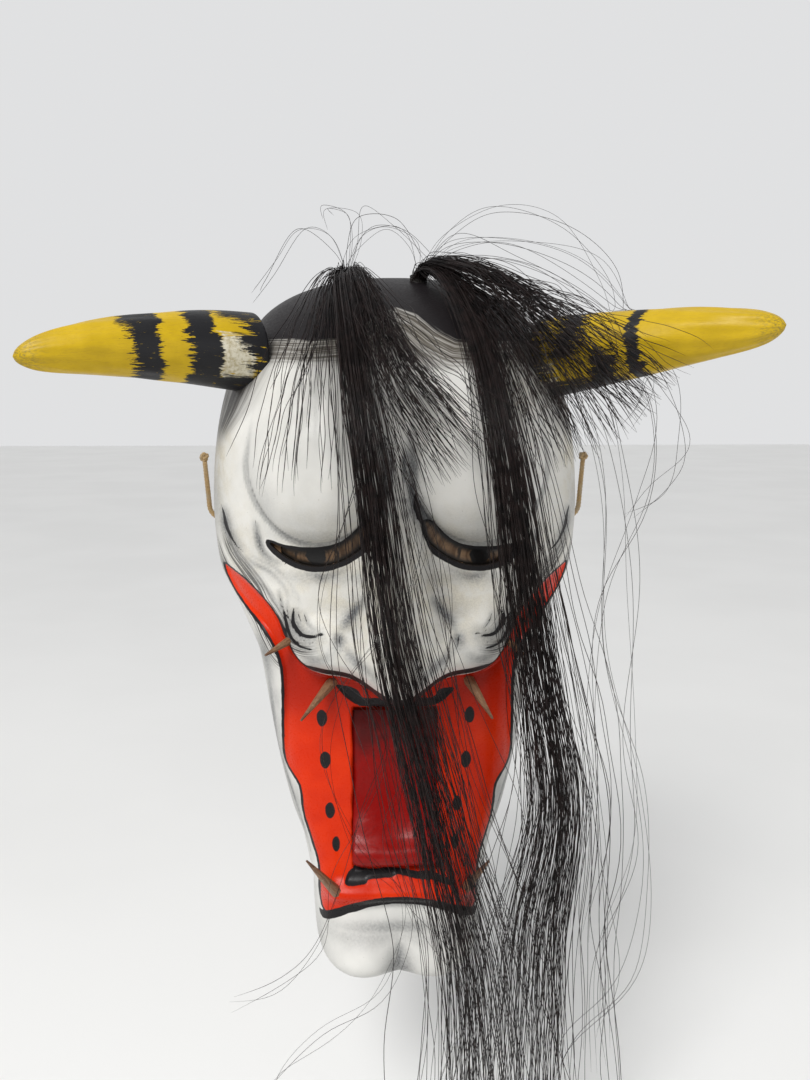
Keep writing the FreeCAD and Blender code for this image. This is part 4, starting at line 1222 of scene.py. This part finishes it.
def clear_of_face(paths, gap):
    """Strands behind the face's surface or inside a horn come out to lie on it."""
    x, y, z = paths[..., 0], paths[..., 1], paths[..., 2]
    over = (np.abs(x) < half_width(z) - 0.3) & (z > BOTTOM_Z + 2) & (z < TOP_Z - 0.5)
    front = depth(np.where(over, x, 0), np.where(over, z, 0), False)
    free = ramp(0.0, 0.08, np.linspace(0, 1, paths.shape[1]))[None, :]
    pushed = np.where(over & (-y < front + gap), -(front + gap), y)
    paths[..., 1] = pushed * free + y * (1 - free)
    for horn in (HORN_LEFT, HORN_RIGHT):
        base = np.array(horn[0], float)
        axis = np.array(horn[1], float) - base
        share = np.clip(((paths - base) @ axis) / (axis @ axis), 0, 1)
        centre = horn_line(horn, share)
        away = paths - centre
        reach = np.linalg.norm(away, axis=-1)
        need = table(HORN_RADII, share) + gap
        push = (reach < need) & (share > 0.0) & (share < 1.0)
        paths = np.where(push[..., None], centre + away * (need / np.maximum(reach, 1e-6))[..., None], paths)
    return paths


def settle(paths):
    """Strands smoothed and laid on the face, each with its own small gap."""
    gap = 0.3 + 2.2 * rng.random((paths.shape[0], 1)) ** 1.5
    for _ in range(3):
        paths = clear_of_face(paths, gap)
        paths[:, 2:-1] = 0.25 * paths[:, 1:-2] + 0.5 * paths[:, 2:-1] + 0.25 * paths[:, 3:]
    return clear_of_face(paths, gap)


def strand_mesh(paths, radius):
    """Three-sided strands, tapered at the end."""
    tangent = unit(np.gradient(paths, axis=1))
    u = unit(np.cross(tangent, (0.25, 0.93, 0.27)))
    v = np.cross(tangent, u)
    count, steps = paths.shape[:2]
    taper = np.ones(steps)
    taper[-4:] = (0.85, 0.65, 0.45, 0.25)
    size = ((radius * (0.8 + 0.4 * rng.random(count)))[:, None] * taper)[..., None]
    turn = rng.random(count)[:, None, None] * 2
    verts = np.stack([paths + size * (np.cos(turn + a) * u + np.sin(turn + a) * v) for a in circle(3)], 2)
    base = (np.arange(count)[:, None, None] * steps + np.arange(steps - 1)[None, :, None]) * 3
    j = np.arange(3)
    k = (j + 1) % 3
    quads = np.stack([base + j, base + k, base + k + 3, base + j + 3], -1).reshape(-1, 4)
    return verts.reshape(-1, 3), quads.tolist()


def hair_material():
    paint = Paint("horsehair")
    place = paint.place()
    tone = paint.fade(paint.noise(place, 5.0, 2.0), 0.35, 0.65)
    body = paint.mix(tone, (0.007, 0.005, 0.005), (0.022, 0.014, 0.013))
    rough = paint.fade(paint.noise(place, 1.5), 0.3, 0.7, 0.30, 0.44)
    return paint.finish(body, rough, Specular_IOR_Level=0.22)


LEFT_ROOT, RIGHT_ROOT = (-24, -14, 126), (12, -14, 126)
FLYAWAYS = [  # loose hairs: the root, then points out from the tufts
    [LEFT_ROOT, (-30, -22, 141), (-44, -40, 143), (-58, -62, 124), (-64, -78, 108)],
    [LEFT_ROOT, (-22, -20, 142), (-12, -34, 152), (2, -50, 146), (14, -70, 128)],
    [LEFT_ROOT, (-20, -18, 146), (-22, -20, 158), (-31, -22, 157), (-35, -24, 151)],
    [RIGHT_ROOT, (6, -20, 142), (-6, -34, 147), (-18, -50, 138), (-26, -70, 120)],
    [RIGHT_ROOT, (24, -22, 146), (48, -34, 157), (78, -48, 148), (98, -60, 120), (103, -66, 96)],
    [RIGHT_ROOT, (30, -20, 140), (62, -36, 143), (92, -50, 128), (112, -62, 98), (118, -68, 70),
     (104, -72, 52)],
    [RIGHT_ROOT, (28, -24, 141), (58, -44, 138), (96, -60, 112), (124, -66, 76), (134, -66, 44),
     (126, -66, 20), (110, -68, 12)],
    [RIGHT_ROOT, (34, -26, 136), (70, -52, 124), (100, -72, 96), (116, -80, 60), (112, -82, 20),
     (96, -84, -30), (92, -86, -90), (100, -88, -150), (104, -88, -215), (98, -88, -250)],
    [RIGHT_ROOT, (30, -26, 134), (62, -56, 116), (86, -80, 84), (98, -86, 40), (104, -86, -20),
     (110, -86, -90), (112, -88, -150), (96, -90, -205), (100, -92, -262)],
    [RIGHT_ROOT, (28, -26, 133), (56, -60, 110), (78, -84, 72), (90, -90, 20), (94, -90, -50),
     (112, -90, -110), (118, -90, -165), (110, -90, -215), (84, -92, -246), (76, -92, -268)],
    [LEFT_ROOT, (-26, -40, 119), (-14, -104, 60), (-20, -118, 10), (-34, -112, -14), (-26, -122, -44),
     (-6, -134, -70), (-16, -124, -110), (-30, -112, -150), (-36, -104, -186), (-58, -96, -214),
     (-82, -90, -226)],
    [LEFT_ROOT, (-24, -40, 119), (-10, -106, 60), (8, -116, 10), (-8, -126, -30), (-24, -122, -52),
     (-32, -112, -86), (-20, -114, -130), (2, -114, -160), (-8, -108, -205), (-34, -100, -232),
     (-60, -96, -258), (-66, -94, -276)],
    [LEFT_ROOT, (-22, -40, 119), (-8, -108, 56), (12, -118, 4), (20, -122, -40), (4, -126, -84),
     (-6, -122, -120), (8, -118, -160), (30, -116, -200), (20, -112, -244), (6, -110, -290)],
]


def make_hair():
    material = hair_material()
    for name, (guide, count, width, thickness, wander, shortest) in LOCKS.items():
        paths = strand_paths(guide, count, width, thickness, wander, shortest)
        if name.endswith("main"):
            paths = np.concatenate([paths, strand_paths(guide, *WILD)])
        new_piece(name + "_strands", *strand_mesh(settle(paths), STRAND_R), material, "horsehair", [name])
    loose = []
    for route in FLYAWAYS:
        for _ in range(3):
            sway = np.concatenate([np.zeros((1, 3)), rng.normal(0, 2.6, (len(route) - 1, 3))])
            loose.append(resample(route + sway, 90))
    new_piece("hair_flyaway", *strand_mesh(settle(np.stack(loose)), FLYAWAY_R), material, "horsehair")


def make_bindings():
    """Thread wound round each bundle of hair where it comes out of the scalp."""
    paint = Paint("binding_thread")
    twist = paint.noise(paint.place(), 0.3)
    tone = paint.mix(twist, (0.012, 0.011, 0.011), (0.05, 0.045, 0.04))
    material = paint.finish(tone, 0.7, paint.relief((twist, 0.1, 1.0)))
    for name, (x, y) in ROOTS.items():
        low, high = (float(corner[2]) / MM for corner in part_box("hair_binding_" + name))
        a = np.linspace(0, 2 * np.pi * BINDING_TURNS, 48 * BINDING_TURNS)
        z, reach = np.linspace(low + 0.4, high - 0.3, len(a)), BINDING_R - THREAD_R
        wind = np.stack([x + reach * np.cos(a), y + reach * np.sin(a), z], 1)
        core = np.array([(x, y, low), (x, y, (low + high) / 2), (x, y, high - 0.2)])
        parts = [tube(wind, THREAD_R, 6), tube(core, BINDING_R - 0.5, 32)]
        new_piece("binding_%s_wound" % name, *joined(parts), material, "binding_thread",
                  ["hair_binding_" + name])


def paint_cad_nodes():
    wood = wood_material()
    for name in ("horn_dowel_left", "horn_dowel_right"):
        node = bpy.data.objects[name]
        for index in range(len(node.material_slots)):
            node.material_slots[index].material = wood


make_eye_edges(*make_skin(skin_material()))
make_back()
make_horns()
make_tongue()
make_eyes()
make_fangs()
make_bindings()
make_hair()
paint_cad_nodes()
